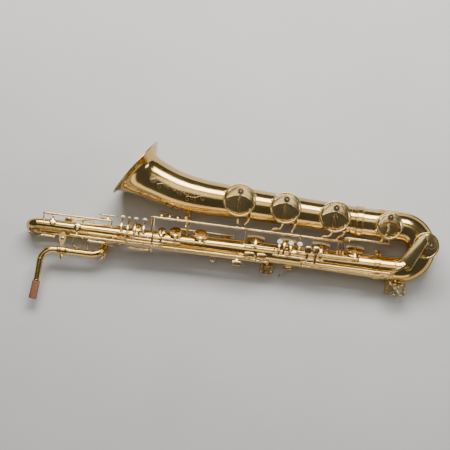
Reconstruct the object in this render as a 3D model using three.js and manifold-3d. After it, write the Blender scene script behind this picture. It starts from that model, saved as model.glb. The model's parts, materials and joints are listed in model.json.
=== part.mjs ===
// Baritone saxophone (low A), lying on its left side. Millimetres.
// The instrument is first laid out in its own frame: X runs down the body towards the bow,
// Y points from the body to the bell, Z points out of the instrument's right side. The body tube's
// axis is Y = Z = 0. The finished group is then rolled and pitched until it rests on the floor.
import * as THREE from 'three';
import { mergeVertices } from 'three/addons/utils/BufferGeometryUtils.js';
import Module from 'manifold-3d';

const wasm = await Module();
wasm.setup();

// ---------------------------------------------------------------- driving dimensions
const WALL = 1.1;
const GAP = 0.35;

const BODY_TOP_X = -528;
const BODY_FOOT_X = 404;
const BODY_TOP_R = 13;
const BODY_FOOT_R = 33.5;

const BOW_CENTRE = { x: 460.5, y: 58.5 };
const BOW_RADIUS = 58.5;
const BELL_JOINT_X = 341;
const BELL_JOINT_Y = 117;

const BELL_MOUTH = { x: -285, y: 186, radius: 92 };

const PIGTAIL = { y: -18, z: -48, turnX: -379 };
const RECEIVER = { y: -66, z: 0, startX: -441, endX: -463 };
const TOP_BOW_R = 12.4;
const PIGTAIL_R = 10.4;
const NECK_R = 9.5;
const NECK_BEND_R = 38;
const NECK_TENON = 14;
const NECK_STRAIGHT = 12;
const NECK_TIP = { x: -520, y: -207 };
const CORK_LENGTH = 50;
const CORK_R = 11;

const ROD_R = 3;
const POST_HALF = 2;
const BEND_SIDES = 16;
const BOW_STEPS = 12;
const BELL_STEPS = 14;
const CHIMNEY_HEIGHT = 4.5;
const CUP_HEIGHT = 5.5;
const PAD_HEIGHT = 2.8;
const PEARL_R = 8;
const GUARD_ROOM = 14;

// The body, the bell rim's lowest point and the pigtail carry the instrument when it lies down.
const REST_ROLL = 9.981;
const REST_PITCH = 1.4091;
const REST_SHIFT = [3.13, -27.163, 51.574];

// ---------------------------------------------------------------- materials
function finish(color, roughness, metalness) {
  return new THREE.MeshStandardMaterial({ color, roughness, metalness });
}
const LACQUER = finish(0xc9a45c, 0.25, 1);
const CORK = finish(0x9a6448, 0.9, 0);
const PAD_LEATHER = finish(0xb98a5a, 0.8, 0);

// ---------------------------------------------------------------- geometry helpers
const vec = (x, y, z) => new THREE.Vector3(x, y, z);
const radians = (degrees) => THREE.MathUtils.degToRad(degrees);
const X_AXIS = vec(1, 0, 0);
const Y_AXIS = vec(0, 1, 0);
const Z_AXIS = vec(0, 0, 1);

// A point at x, at an angle round the body from +Y towards +Z, and at a distance from its axis.
function around(x, angle, radius) {
  return vec(x, radius * Math.cos(radians(angle)), radius * Math.sin(radians(angle)));
}

function signedVolume(positions, triangles) {
  const corner = (index) => vec(...positions.subarray(3 * index, 3 * index + 3));
  let sum = 0;
  for (let i = 0; i < triangles.length; i += 3) {
    const [a, b, c] = [0, 1, 2].map((k) => corner(triangles[i + k]));
    sum += a.dot(b.cross(c));
  }
  return sum / 6;
}

// A closed three.js geometry as a solid for joining and cutting, with its faces pointing out.
function solid(geometry) {
  const bare = geometry.clone();
  bare.deleteAttribute('normal');
  bare.deleteAttribute('uv');
  const merged = mergeVertices(bare, 1e-4);
  const vertProperties = new Float32Array(merged.attributes.position.array);
  const triVerts = Uint32Array.from(merged.index.array);
  if (signedVolume(vertProperties, triVerts) < 0) {
    for (let i = 0; i < triVerts.length; i += 3) {
      [triVerts[i], triVerts[i + 1]] = [triVerts[i + 1], triVerts[i]];
    }
  }
  return new wasm.Manifold(new wasm.Mesh({ numProp: 3, vertProperties, triVerts }));
}

const join = (...solids) => solids.flat().reduce((sum, next) => sum.add(next));

function place(geometry, centre, direction) {
  geometry.applyQuaternion(new THREE.Quaternion().setFromUnitVectors(Y_AXIS, direction.clone().normalize()));
  geometry.translate(centre.x, centre.y, centre.z);
  return solid(geometry);
}

function rod(from, to, radius, sides = 6, endRadius = radius) {
  const along = to.clone().sub(from);
  const cylinder = new THREE.CylinderGeometry(endRadius, radius, along.length(), sides);
  return place(cylinder, from.clone().add(to).multiplyScalar(0.5), along);
}

// A solid turned from a profile of [radius, height] pairs, standing at base along direction.
function turned(profile, base, direction, segments = 12) {
  const lathe = new THREE.LatheGeometry(profile.map(([r, h]) => new THREE.Vector2(r, h)), segments);
  return place(lathe, base, direction);
}

function block(centre, size) {
  const box = new THREE.BoxGeometry(...size);
  box.translate(centre.x, centre.y, centre.z);
  return solid(box);
}

// A flat bar bent along points: width is measured along the body, thickness across it.
function bar(points, width, thickness, steps = 4) {
  const outline = new THREE.Shape([
    new THREE.Vector2(-width / 2, -thickness / 2),
    new THREE.Vector2(width / 2, -thickness / 2),
    new THREE.Vector2(width / 2, thickness / 2),
    new THREE.Vector2(-width / 2, thickness / 2),
  ]);
  const extrudePath = new THREE.CatmullRomCurve3(points, false, 'centripetal');
  return solid(new THREE.ExtrudeGeometry(outline, { steps, extrudePath }));
}

function wire(points, radius, sides = 6, steps = 10, closed = false) {
  const outline = new THREE.Shape();
  for (let i = 0; i < sides; i += 1) {
    const turn = (2 * Math.PI * i) / sides;
    const corner = [radius * Math.cos(turn), radius * Math.sin(turn)];
    if (i === 0) outline.moveTo(...corner);
    else outline.lineTo(...corner);
  }
  const extrudePath = new THREE.CatmullRomCurve3(points, closed, 'centripetal');
  return solid(new THREE.ExtrudeGeometry(outline, { steps, extrudePath }));
}

// A tapering round solid bent along a curve: a lathe profile whose height is laid along the curve.
// With an overrun it goes on straight past either end of the curve, so that a bore cuts right through.
function bent(curve, radiusAt, segments, steps, overrun = 0) {
  const length = curve.getLength();
  const profile = [new THREE.Vector2(0, -overrun)];
  for (let i = 0; i <= steps; i += 1) {
    const height = -overrun + ((length + 2 * overrun) * i) / steps;
    profile.push(new THREE.Vector2(radiusAt(THREE.MathUtils.clamp(height / length, 0, 1)), height));
  }
  profile.push(new THREE.Vector2(0, length + overrun));
  const geometry = new THREE.LatheGeometry(profile, segments);
  const frames = curve.computeFrenetFrames(steps * 2);
  const position = geometry.attributes.position;
  for (let i = 0; i < position.count; i += 1) {
    const height = position.getY(i);
    const t = THREE.MathUtils.clamp(height / length, 0, 1);
    const frame = Math.round(t * steps * 2);
    const point = curve.getPointAt(t);
    point.addScaledVector(frames.tangents[frame], height - t * length);
    point.addScaledVector(frames.normals[frame], position.getX(i));
    point.addScaledVector(frames.binormals[frame], position.getZ(i));
    position.setXYZ(i, point.x, point.y, point.z);
  }
  return solid(geometry);
}

function hollow(curve, radiusAt, segments, steps) {
  const bore = (t) => radiusAt(t) - WALL;
  return { outside: bent(curve, radiusAt, segments, steps), inside: bent(curve, bore, segments, steps, 2) };
}

// Radius along a tube from a few [position, radius] stations, in straight tapers between them.
function stations(list) {
  return (t) => {
    const next = list.findIndex(([at]) => at >= t);
    if (next <= 0) return list[0][1];
    const [a, ra] = list[next - 1];
    const [b, rb] = list[next];
    return THREE.MathUtils.lerp(ra, rb, (t - a) / (b - a));
  };
}

function line(points) {
  const path = new THREE.CurvePath();
  for (let i = 1; i < points.length; i += 1) path.add(new THREE.LineCurve3(points[i - 1], points[i]));
  return path;
}

// ---------------------------------------------------------------- the assembly
const instrument = new THREE.Group();

function addNode(name, manifold, material = LACQUER) {
  const { numProp, vertProperties, triVerts } = manifold.getMesh();
  const geometry = new THREE.BufferGeometry();
  geometry.setAttribute('position', new THREE.BufferAttribute(new Float32Array(vertProperties), numProp));
  geometry.setIndex(new THREE.BufferAttribute(new Uint32Array(triVerts), 1));
  geometry.computeVertexNormals();
  const mesh = new THREE.Mesh(geometry, material);
  mesh.name = name;
  instrument.add(mesh);
}

// ---------------------------------------------------------------- body tube
const bodyRadius = (x) => THREE.MathUtils.mapLinear(x, BODY_TOP_X, BODY_FOOT_X, BODY_TOP_R, BODY_FOOT_R);

// Tone holes on the body: place along it, angle round it, cup radius.
const HOLES = {
  D: { x: 339, angle: 20, cup: 27 },
  E: { x: 246, angle: 20, cup: 26 },
  F: { x: 154, angle: 20, cup: 26 },
  Fs: { x: 67, angle: 20, cup: 25 },
  altFs: { x: 107, angle: 205, cup: 13 },
  Gs: { x: -15, angle: -60, cup: 18 },
  G: { x: -84, angle: 38, cup: 20 },
  A: { x: -152, angle: 38, cup: 18 },
  bis: { x: -190, angle: 40, cup: 12 },
  B: { x: -258, angle: 38, cup: 15 },
  sideBb: { x: -176, angle: 185, cup: 15 },
  sideC: { x: -322, angle: 160, cup: 12 },
  sideE: { x: -420, angle: 85, cup: 10.5 },
  frontF: { x: -490, angle: 62, cup: 9.5 },
  palmD: { x: -318, angle: -90, cup: 13 },
  palmEb: { x: -385, angle: -62, cup: 12 },
  palmF: { x: -450, angle: -32, cup: 11 },
  vent: { x: -352, angle: 225, cup: 6.5 },
};

// Hinge lines parallel to the body: each has a height in Y and Z and the posts that stand on it.
const LINES = {
  railA: { y: 57, z: 48, posts: [-220, 36] },
  railBb: { y: 57, z: 38, posts: [-220, 187] },
  railB: { y: 57, z: 28, posts: [-220, 292] },
  railCs: { y: 57, z: 18, posts: [-220, 300] },
  lowCs: { y: 68, z: 26, posts: [308, 427] },
  stackLow: { y: 14, z: 46, posts: [40, 121, 181, 350] },
  stackLowOuter: { y: -3, z: 47, posts: [119, 155, 253] },
  lowC: { y: -13, z: 43, posts: [198, 449] },
  lowEb: { y: -23, z: 36, posts: [198, 447] },
  stackTop: { y: 3, z: 38, posts: [-309, -249, -72] },
  stackTopMiddle: { y: -6, z: 38, posts: [-270, -139] },
  bis: { y: -14, z: 35, posts: [-289, -184] },
  sideE: { y: -20.5, z: 31.5, posts: [-436, 43] },
  sideC: { y: -23.5, z: 24.5, posts: [-338, 74] },
  sideBb: { y: -26, z: 17, posts: [-194, 107] },
  thumbA: { y: -35.5, z: 2, posts: [-276, -219] },
  altFs: { y: -20, z: -34, posts: [86, 150] },
  Gs: { y: 33, z: -14, posts: [-150, 4] },
  frontF: { y: 31, z: 8, posts: [-517, -330] },
  octave: { y: -31, z: 6, posts: [-387, -339] },
  vent: { y: -6, z: -31, posts: [-374, -338] },
};

const postHead = (x, { y, z }) => block(vec(x, y, z), [2 * POST_HALF, 7, 7]);

function post(x, hinge) {
  const angle = THREE.MathUtils.radToDeg(Math.atan2(hinge.z, hinge.y));
  const foot = around(x, angle, bodyRadius(x) - 0.6);
  const neck = around(x, angle, Math.hypot(hinge.y, hinge.z) - 0.6);
  return join(rod(foot, neck, POST_HALF, 4), postHead(x, hinge));
}

function chimney({ x, angle, cup }) {
  const top = bodyRadius(x) + CHIMNEY_HEIGHT;
  const edge = cup - 2.5;
  const sides = cup > 16 ? 10 : 6;
  return {
    wall: rod(around(x, angle, bodyRadius(x) * 0.5), around(x, angle, top), edge, sides),
    bore: rod(around(x, angle, bodyRadius(x) * 0.4), around(x, angle, top + 2), edge - 1.5, sides),
  };
}

function makeBodyTube() {
  const axis = line([vec(BODY_TOP_X, 0, 0), vec(BODY_FOOT_X, 0, 0)]);
  const taper = (t) => THREE.MathUtils.lerp(BODY_TOP_R, BODY_FOOT_R, t);
  const shell = hollow(axis, taper, 16, 1);
  const holes = Object.values(HOLES).map(chimney);
  const posts = Object.values(LINES).flatMap((hinge) => hinge.posts.map((x) => [x, hinge]));
  const onBody = posts.filter(([x]) => x < BODY_FOOT_X - 8).map(([x, hinge]) => post(x, hinge));
  const outside = join(shell.outside, holes.map((hole) => hole.wall));
  const bores = join(shell.inside, holes.map((hole) => hole.bore));
  addNode('body_tube', join(outside.subtract(bores), onBody));
}

// ---------------------------------------------------------------- bow, bell and their rings
class BowCurve extends THREE.Curve {
  // Straight out of the body, half a turn, and straight back to the bell joint.
  getPoint(t, target = new THREE.Vector3()) {
    const lead = BOW_CENTRE.x - BODY_FOOT_X - GAP;
    const turn = Math.PI * BOW_RADIUS;
    const tail = BOW_CENTRE.x - BELL_JOINT_X - GAP;
    const s = t * (lead + turn + tail);
    if (s < lead) return target.set(BODY_FOOT_X + GAP + s, BOW_CENTRE.y - BOW_RADIUS, 0);
    if (s > lead + turn) return target.set(BOW_CENTRE.x - (s - lead - turn), BOW_CENTRE.y + BOW_RADIUS, 0);
    const a = (s - lead) / BOW_RADIUS - Math.PI / 2;
    return target.set(BOW_CENTRE.x + BOW_RADIUS * Math.cos(a), BOW_CENTRE.y + BOW_RADIUS * Math.sin(a), 0);
  }
}
const bowRadius = stations([[0, 33.5], [0.16, 35], [0.45, 40], [0.7, 40], [1, 39.2]]);

const LOW_KEYS = {
  A: { x: 9, y: 132, cup: 38, surface: 45.2, hinge: 'railA', arms: [12, 29], open: 6.5 },
  Bb: { x: 135, y: 127, cup: 36, surface: 42.2, hinge: 'railBb', arms: [102, 160], open: 6.5 },
  B: { x: 271, y: 121, cup: 36, surface: 40.4, hinge: 'railB', arms: [242, 285], open: 6.5 },
  Cs: { x: 419, y: 115, cup: 30, surface: 39.6, hinge: 'lowCs', arms: [405], open: 0 },
  C: { x: 524, y: 75, cup: 29, surface: 38.6, hinge: 'lowC', arms: [446], open: 6 },
};
const LOW_EB = { x: 463, y: -36, cup: 23 };

const flank = ({ x, y }, z) => vec(x, y, z);

function flankChimney(hole) {
  const edge = hole.cup - 3;
  const top = hole.surface + CHIMNEY_HEIGHT + 2;
  return {
    wall: rod(flank(hole, hole.surface * 0.4), flank(hole, top), edge, 12),
    bore: rod(flank(hole, hole.surface * 0.3), flank(hole, top + 2), edge - 1.8, 12),
  };
}

function makeBow() {
  const shell = hollow(new BowCurve(), bowRadius, BEND_SIDES, BOW_STEPS);
  const holes = [LOW_KEYS.Cs, LOW_KEYS.C].map(flankChimney);
  const ebEdge = LOW_EB.cup - 2.5;
  const ebTop = LOW_EB.y - 4;
  const eb = {
    wall: rod(vec(LOW_EB.x, -18, 0), vec(LOW_EB.x, ebTop, 0), ebEdge, 10),
    bore: rod(vec(LOW_EB.x, -10, 0), vec(LOW_EB.x, ebTop - 2, 0), ebEdge - 1.5, 10),
  };
  const outside = join(shell.outside, holes.map((hole) => hole.wall), eb.wall);
  const bores = join(shell.inside, holes.map((hole) => hole.bore), eb.bore);
  const bowPosts = [
    { hinge: LINES.lowC, footY: -6, footZ: 29 },
    { hinge: LINES.lowEb, footY: -6, footZ: 28 },
    { hinge: LINES.lowCs, footY: 90, footZ: 18 },
  ].map(({ hinge, footY, footZ }) => {
    const x = hinge.posts.at(-1);
    return join(rod(vec(x, footY, footZ), vec(x, hinge.y, hinge.z), POST_HALF), postHead(x, hinge));
  });
  addNode('bow', join(outside.subtract(bores), bowPosts));
}

const bellCurve = new THREE.CatmullRomCurve3([
  vec(BELL_JOINT_X - 1.5, BELL_JOINT_Y, 0),
  vec(200, 120.5, 0),
  vec(60, 124.5, 0),
  vec(-40, 126.5, 0),
  vec(-100, 129, 0),
  vec(-158, 137, 0),
  vec(-220, 155, 0),
  vec(-262, 171, 0),
  vec(BELL_MOUTH.x, BELL_MOUTH.y, 0),
], false, 'centripetal');
const bellRadius = stations([
  [0, 39.2], [0.5, 44.5], [0.65, 48], [0.76, 52], [0.85, 54.5], [0.9, 57.5],
  [0.94, 62], [0.965, 68], [0.985, 78], [1, BELL_MOUTH.radius],
]);

function makeBell() {
  const shell = hollow(bellCurve, bellRadius, BEND_SIDES, BELL_STEPS);
  const holes = [LOW_KEYS.A, LOW_KEYS.Bb, LOW_KEYS.B].map(flankChimney);
  const mouth = vec(BELL_MOUTH.x, BELL_MOUTH.y, 0);
  const facing = bellCurve.getTangentAt(1);
  const roll = turned(
    [[BELL_MOUTH.radius - 3, 0], [BELL_MOUTH.radius, 0], [BELL_MOUTH.radius, 3.5], [BELL_MOUTH.radius - 3, 3.5],
      [BELL_MOUTH.radius - 3, 0]],
    mouth.clone().addScaledVector(facing, -2), facing, BEND_SIDES);
  const outside = join(shell.outside, holes.map((hole) => hole.wall));
  const bores = join(shell.inside, holes.map((hole) => hole.bore));
  addNode('bell', join(outside.subtract(bores), roll));
}

// A ring clamped over the joint between two tubes, with two raised beads.
function clampRing(x, y, bore, halfWidth) {
  const profile = [
    [bore, -halfWidth], [bore + 3.5, -halfWidth], [bore + 3.5, -halfWidth + 4], [bore + 2, -halfWidth + 4],
    [bore + 2, halfWidth - 4], [bore + 3.5, halfWidth - 4], [bore + 3.5, halfWidth], [bore, halfWidth],
    [bore, -halfWidth],
  ];
  return turned(profile, vec(x, y, 0), X_AXIS, BEND_SIDES);
}

function makeRings() {
  const bodyRing = clampRing(BODY_FOOT_X, 0, BODY_FOOT_R + 0.9, 9);
  const lug = block(vec(BODY_FOOT_X, 39.5, 0), [16, 8, 14]);
  const slit = block(vec(BODY_FOOT_X, 41, 0), [20, 8, 2]);
  addNode('body_clamp_ring', join(bodyRing, lug).subtract(slit));
  addNode('bell_clamp_ring', clampRing(BELL_JOINT_X, BELL_JOINT_Y, 40.2, 10));
}

// ---------------------------------------------------------------- top bow, pigtail, neck
// Half a turn in a plane that holds the X axis, from one side point to the other.
class HalfTurn extends THREE.Curve {
  constructor(from, to, outward) {
    super();
    this.middle = from.clone().add(to).multiplyScalar(0.5);
    this.side = from.clone().sub(to).multiplyScalar(0.5);
    this.outward = outward.clone().multiplyScalar(this.side.length());
  }

  getPoint(t, target = new THREE.Vector3()) {
    const a = Math.PI * t;
    return target.copy(this.middle)
      .addScaledVector(this.side, Math.cos(a))
      .addScaledVector(this.outward, Math.sin(a));
  }
}

class Joined extends THREE.Curve {
  constructor(curves) {
    super();
    this.curves = curves;
    this.total = curves.reduce((sum, curve) => sum + curve.getLength(), 0);
  }

  getPoint(t, target = new THREE.Vector3()) {
    let s = t * this.total;
    for (const curve of this.curves) {
      const length = curve.getLength();
      if (s <= length || curve === this.curves.at(-1)) {
        return curve.getPointAt(Math.min(s / length, 1), target);
      }
      s -= length;
    }
    return target;
  }
}

const bodyTop = vec(BODY_TOP_X - GAP, 0, 0);
const pigtailTop = vec(BODY_TOP_X, PIGTAIL.y, PIGTAIL.z);
const pigtailTurn = vec(PIGTAIL.turnX, PIGTAIL.y, PIGTAIL.z);
const receiverTurn = vec(PIGTAIL.turnX, RECEIVER.y, RECEIVER.z);
const receiverStart = vec(RECEIVER.startX, RECEIVER.y, RECEIVER.z);

// The upper octave vent stands square to the top bow's plane, at the top of its turn.
const ventOut = vec(0, PIGTAIL.z, -PIGTAIL.y).normalize();
const ventSeat = (height) =>
  vec(BODY_TOP_X - 25.6, PIGTAIL.y / 2, PIGTAIL.z / 2).addScaledVector(ventOut, height);

function makeTopBow() {
  const curve = new HalfTurn(bodyTop, pigtailTop.clone().setX(bodyTop.x), vec(-1, 0, 0));
  const shell = hollow(curve, (t) => THREE.MathUtils.lerp(BODY_TOP_R, TOP_BOW_R, t), 12, 6);
  const pip = rod(ventSeat(6), ventSeat(TOP_BOW_R + 5), 2.6);
  const pipBore = rod(ventSeat(4), ventSeat(TOP_BOW_R + 7), 1.2);
  addNode('top_bow', shell.outside.add(pip).subtract(shell.inside).subtract(pipBore));
}

function makePigtail() {
  const curve = new Joined([
    new THREE.LineCurve3(pigtailTop, pigtailTurn),
    new HalfTurn(pigtailTurn, receiverTurn, X_AXIS),
    new THREE.LineCurve3(receiverTurn, receiverStart),
  ]);
  const shell = hollow(curve, (t) => THREE.MathUtils.lerp(TOP_BOW_R - 0.6, PIGTAIL_R - 0.6, t), 10, 14);
  addNode('pigtail', shell.outside.subtract(shell.inside));
}

function makePigtailBrace() {
  const ring = turned(
    [[13.5, -1.5], [17, -1.5], [17, 1.5], [13.5, 1.5], [13.5, -1.5]], vec(-416, -37.8, 0), Z_AXIS, 20);
  const foot = block(vec(-416, -18.5, 0), [12, 5, 5]);
  addNode('pigtail_brace', join(ring, foot).subtract(rod(vec(-440, 0, 0), vec(-400, 0, 0), 16, 24)));
}

function makeReceiver() {
  const centre = vec((RECEIVER.startX + RECEIVER.endX) / 2, RECEIVER.y, RECEIVER.z);
  const collar = turned(
    [[PIGTAIL_R + 0.4, -11], [13.6, -11], [13.6, -7], [12.6, -6], [12.6, 6], [13.6, 7], [13.6, 11],
      [PIGTAIL_R + 0.4, 11], [PIGTAIL_R + 0.4, -11]],
    centre, X_AXIS, 12);
  const lugs = block(centre.clone().add(vec(-3, -15, 0)), [10, 9, 14]);
  const slit = block(centre.clone().add(vec(-3, -15, 0)), [30, 14, 2.4]);
  const screwHole = rod(centre.clone().add(vec(-3, -16, -20)), centre.clone().add(vec(-3, -16, 20)), 2.6, 10);
  addNode('neck_receiver', join(collar, lugs).subtract(slit).subtract(screwHole));
}

function makeReceiverBrace() {
  const leaf = new THREE.Shape();
  leaf.moveTo(-3.5, -56);
  leaf.lineTo(3.5, -56);
  leaf.quadraticCurveTo(4.5, -48, 6, -44);
  leaf.quadraticCurveTo(13, -33, 8, -21);
  leaf.quadraticCurveTo(5, -15, 0, -14.5);
  leaf.quadraticCurveTo(-5, -15, -8, -21);
  leaf.quadraticCurveTo(-13, -33, -6, -44);
  leaf.quadraticCurveTo(-4.5, -48, -3.5, -56);
  const plate = new THREE.ExtrudeGeometry(leaf, { depth: 2.2, bevelEnabled: false, curveSegments: 5 });
  plate.translate(-458, 0, 9);
  const bodyClearance = rod(vec(-480, 0, 0), vec(-440, 0, 0), bodyRadius(-445) + GAP, 24);
  const collarClearance = rod(vec(-480, RECEIVER.y, 0), vec(-430, RECEIVER.y, 0), 13.6 + GAP, 24);
  addNode('receiver_brace', solid(plate).subtract(bodyClearance).subtract(collarClearance));
}

class NeckCurve extends THREE.Curve {
  // Straight out of the receiver, a quarter turn, and a run to the tip that leans slightly back.
  getPoint(t, target = new THREE.Vector3()) {
    const straight = NECK_TENON + NECK_STRAIGHT;
    const turn = (Math.PI / 2) * NECK_BEND_R;
    const startX = RECEIVER.endX - GAP + NECK_TENON;
    const down = RECEIVER.y - NECK_BEND_R - NECK_TIP.y;
    const s = t * (straight + turn + down);
    const bendX = startX - straight;
    if (s < straight) return target.set(startX - s, RECEIVER.y, RECEIVER.z);
    if (s < straight + turn) {
      const a = (s - straight) / NECK_BEND_R;
      const drop = NECK_BEND_R * (1 - Math.cos(a));
      return target.set(bendX - NECK_BEND_R * Math.sin(a), RECEIVER.y - drop, RECEIVER.z);
    }
    const drop = s - straight - turn;
    const lean = (NECK_TIP.x - (bendX - NECK_BEND_R)) * (drop / down) ** 1.5;
    return target.set(bendX - NECK_BEND_R + lean, RECEIVER.y - NECK_BEND_R - drop, RECEIVER.z);
  }
}
const neckCurve = new NeckCurve();

function makeNeck() {
  const shell = hollow(neckCurve, (t) => THREE.MathUtils.lerp(NECK_R, NECK_R - 1, t), 12, 9);
  addNode('neck', shell.outside.subtract(shell.inside));
}

function makeCork() {
  const tip = neckCurve.getPointAt(1);
  const back = neckCurve.getTangentAt(1).negate();
  const inner = NECK_R + 0.25;
  addNode('neck_cork', turned(
    [[inner, 0], [CORK_R - 0.8, 0], [CORK_R, 2], [CORK_R, CORK_LENGTH - 3], [CORK_R - 0.6, CORK_LENGTH],
      [inner, CORK_LENGTH], [inner, 0]],
    tip, back, 14), CORK);
}

const SCREW = { x: (RECEIVER.startX + RECEIVER.endX) / 2 - 3, y: RECEIVER.y - 16 };

function makeNeckScrew() {
  const shaft = rod(vec(SCREW.x, SCREW.y, -9), vec(SCREW.x, SCREW.y, 11), 2.1, 10);
  const head = turned(
    [[0, 0], [4, 0], [5.5, 1], [5.5, 4], [3, 6], [0, 6]], vec(SCREW.x, SCREW.y, 7.6), Z_AXIS, 16);
  const grip = block(vec(SCREW.x, SCREW.y - 2, 15.5), [3, 15, 6]);
  addNode('neck_screw', join(shaft, head, grip));
}

// ---------------------------------------------------------------- fittings fixed to the body
function makeBellBrace() {
  const x = -122;
  const bodySeat = rod(vec(x - 20, 0, 0), vec(x + 20, 0, 0), bodyRadius(x + 10) + GAP, 28);
  const lower = block(vec(x, bodyRadius(x) + 2, 0), [17, 6, 14]);
  const stem = rod(vec(x, bodyRadius(x) + 1, 0), vec(x, 80, 0), 3.2, 10);
  const upper = block(vec(x, 79.5, 0), [24, 5, 18]);
  const collar = turned([[0, -3], [6, -3], [6.5, 0], [6, 3], [0, 3]], vec(x, 67, 0), Y_AXIS, 14);
  const bellSeat = bent(bellCurve, (t) => bellRadius(t) + GAP, BEND_SIDES, BELL_STEPS);
  addNode('bell_brace', join(lower, stem, upper, collar).subtract(bodySeat).subtract(bellSeat));
}

function makeStrapRing() {
  const centre = vec(-44, -35.5, 0);
  const ring = turned([[5, -2], [9, -2], [9, 2], [5, 2], [5, -2]], centre, Z_AXIS, 20);
  const foot = block(vec(-44, -25.5, 0), [14, 5, 9]);
  const bodySeat = rod(vec(-70, 0, 0), vec(-20, 0, 0), bodyRadius(-36) + GAP, 28);
  addNode('strap_ring', join(ring, foot).subtract(bodySeat));
}

function makeThumbHook() {
  const bodySeat = rod(vec(120, 0, 0), vec(200, 0, 0), bodyRadius(180) + GAP, 28);
  const base = block(vec(166, -32.5, 0), [34, 8, 14]);
  const tongue = [vec(176, -36, 0), vec(160, -37.5, 0), vec(151, -41, 0), vec(147, -50, 0), vec(142, -62, 0)];
  const hook = bar(tongue, 15, 3, 12);
  addNode('thumb_hook', join(base, hook).subtract(bodySeat));
}

function makeThumbRest() {
  const seat = around(-300, 195, bodyRadius(-300) + GAP);
  const out = around(0, 195, 1);
  addNode('thumb_rest', turned([[0, 0.5], [5, 0.5], [5, 8], [9, 9.5], [9, 12], [0, 13]], seat, out, 18));
}

// A guard over a cup on the flank: an open ring on four feet, with a boss for the felt bumper.
function flankGuard(hole, feet, legDrop) {
  const ringR = hole.cup + 4.5;
  const z = hole.surface + CHIMNEY_HEIGHT + 7.5 + PAD_HEIGHT + GUARD_ROOM;
  const ring = turned(
    [[ringR - 1.4, -1], [ringR + 1.4, -1], [ringR + 1.4, 1], [ringR - 1.4, 1], [ringR - 1.4, -1]],
    flank(hole, z), Z_AXIS, 16);
  const legs = feet.map((angle, i) => {
    const [c, s] = [Math.cos(radians(angle)), Math.sin(radians(angle))];
    const top = vec(hole.x + ringR * c, hole.y + ringR * s, z);
    const toe = vec(hole.x + (ringR + 1) * c, hole.y + (ringR - 3) * s, z - legDrop[i]);
    return rod(toe, top, 2.2, 4, 1.6);
  });
  return { ring, legs, z, ringR };
}

function bumperBridge(hole, guard, reach, lift) {
  const boss = vec(hole.x, hole.y + reach, guard.z + lift);
  const disc = turned([[0, -2], [8, -2], [9, -1], [9, 3], [0, 3]], boss, Z_AXIS, 8);
  const spread = [45, 90, 135].map((angle) => {
    const [c, s] = [Math.cos(radians(angle)), Math.sin(radians(angle))];
    const rim = vec(hole.x + guard.ringR * c, hole.y + guard.ringR * s, guard.z);
    return rod(rim, boss.clone().setZ(boss.z + 0.5), 1.5, 4);
  });
  return [disc, ...spread];
}

const LOW_GUARDS = {
  A: { feet: [25, 155, 205, 335], drop: 36 },
  Bb: { feet: [25, 155, 205, 335], drop: 36 },
  B: { feet: [25, 155, 205, 335], drop: 36 },
  Cs: { feet: [30, 150, 215, 325], drop: 36 },
};

// A plate over the low C arm: it runs up from the bow to the guard ring, with a rolled edge on each side.
function bowShield(z) {
  const lower = [vec(464, 24, z - 3), vec(489, 3, z - 3)];
  const upper = [vec(507, 72, z - 2), vec(534, 52, z - 2)];
  const corners = [lower[0], lower[1], upper[1], upper[0]];
  const plate = new THREE.Shape(corners.map(({ x, y }) => new THREE.Vector2(x, y)));
  const sheet = new THREE.ExtrudeGeometry(plate, { depth: 1.6, bevelEnabled: false });
  sheet.translate(0, 0, z - 3.3);
  const edges = lower.map((foot, i) =>
    rod(foot.clone().setZ(24), foot, 1.7, 4).add(rod(foot, upper[i], 1.7, 4)));
  return [solid(sheet), ...edges];
}

function makeLowGuards() {
  const bell = bent(bellCurve, (t) => bellRadius(t) + GAP, BEND_SIDES, BELL_STEPS);
  const bow = bent(new BowCurve(), (t) => bowRadius(t) + GAP, BEND_SIDES, BOW_STEPS);
  for (const [name, { feet, drop }] of Object.entries(LOW_GUARDS)) {
    const hole = LOW_KEYS[name];
    const guard = flankGuard(hole, feet, feet.map(() => drop));
    const whole = join(guard.ring, guard.legs, bumperBridge(hole, guard, 23, 2));
    addNode(`guard_low_${name}`, whole.subtract(name === 'Cs' ? bow : bell));
  }
  const hole = LOW_KEYS.C;
  const guard = flankGuard(hole, [-30, 60, 140], [34, 34, 34]);
  const whole = join(guard.ring, guard.legs, bowShield(guard.z + 2), bumperBridge(hole, guard, 3, 2));
  addNode('guard_low_C', whole.subtract(bow));
}

// A cage over a cup on the back: a plate ring with spokes, on straight legs.
function makeCage(name, hole, outward, size, reach, seat) {
  const centre = hole.clone().addScaledVector(outward, reach);
  const along = X_AXIS;
  const across = outward.clone().cross(along).normalize();
  const ring = turned(
    [[size - 2, -1], [size + 1.5, -1], [size + 1.5, 1], [size - 2, 1], [size - 2, -1]], centre, outward, 12);
  const spokes = [60, 120].map((angle) => {
    const arm = along.clone()
      .multiplyScalar(Math.cos(radians(angle)))
      .addScaledVector(across, Math.sin(radians(angle)));
    const [a, b] = [-size, size].map((r) => centre.clone().addScaledVector(arm, r));
    return rod(a, b, 1.3, 4);
  });
  const legs = [30, 150, 210, 330].map((angle) => {
    const arm = along.clone()
      .multiplyScalar(Math.cos(radians(angle)))
      .addScaledVector(across, Math.sin(radians(angle)));
    const top = centre.clone().addScaledVector(arm, size);
    return rod(top.clone().addScaledVector(outward, -reach - 6), top, 1.7, 4);
  });
  addNode(name, join(ring, spokes, legs).subtract(seat));
}

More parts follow.
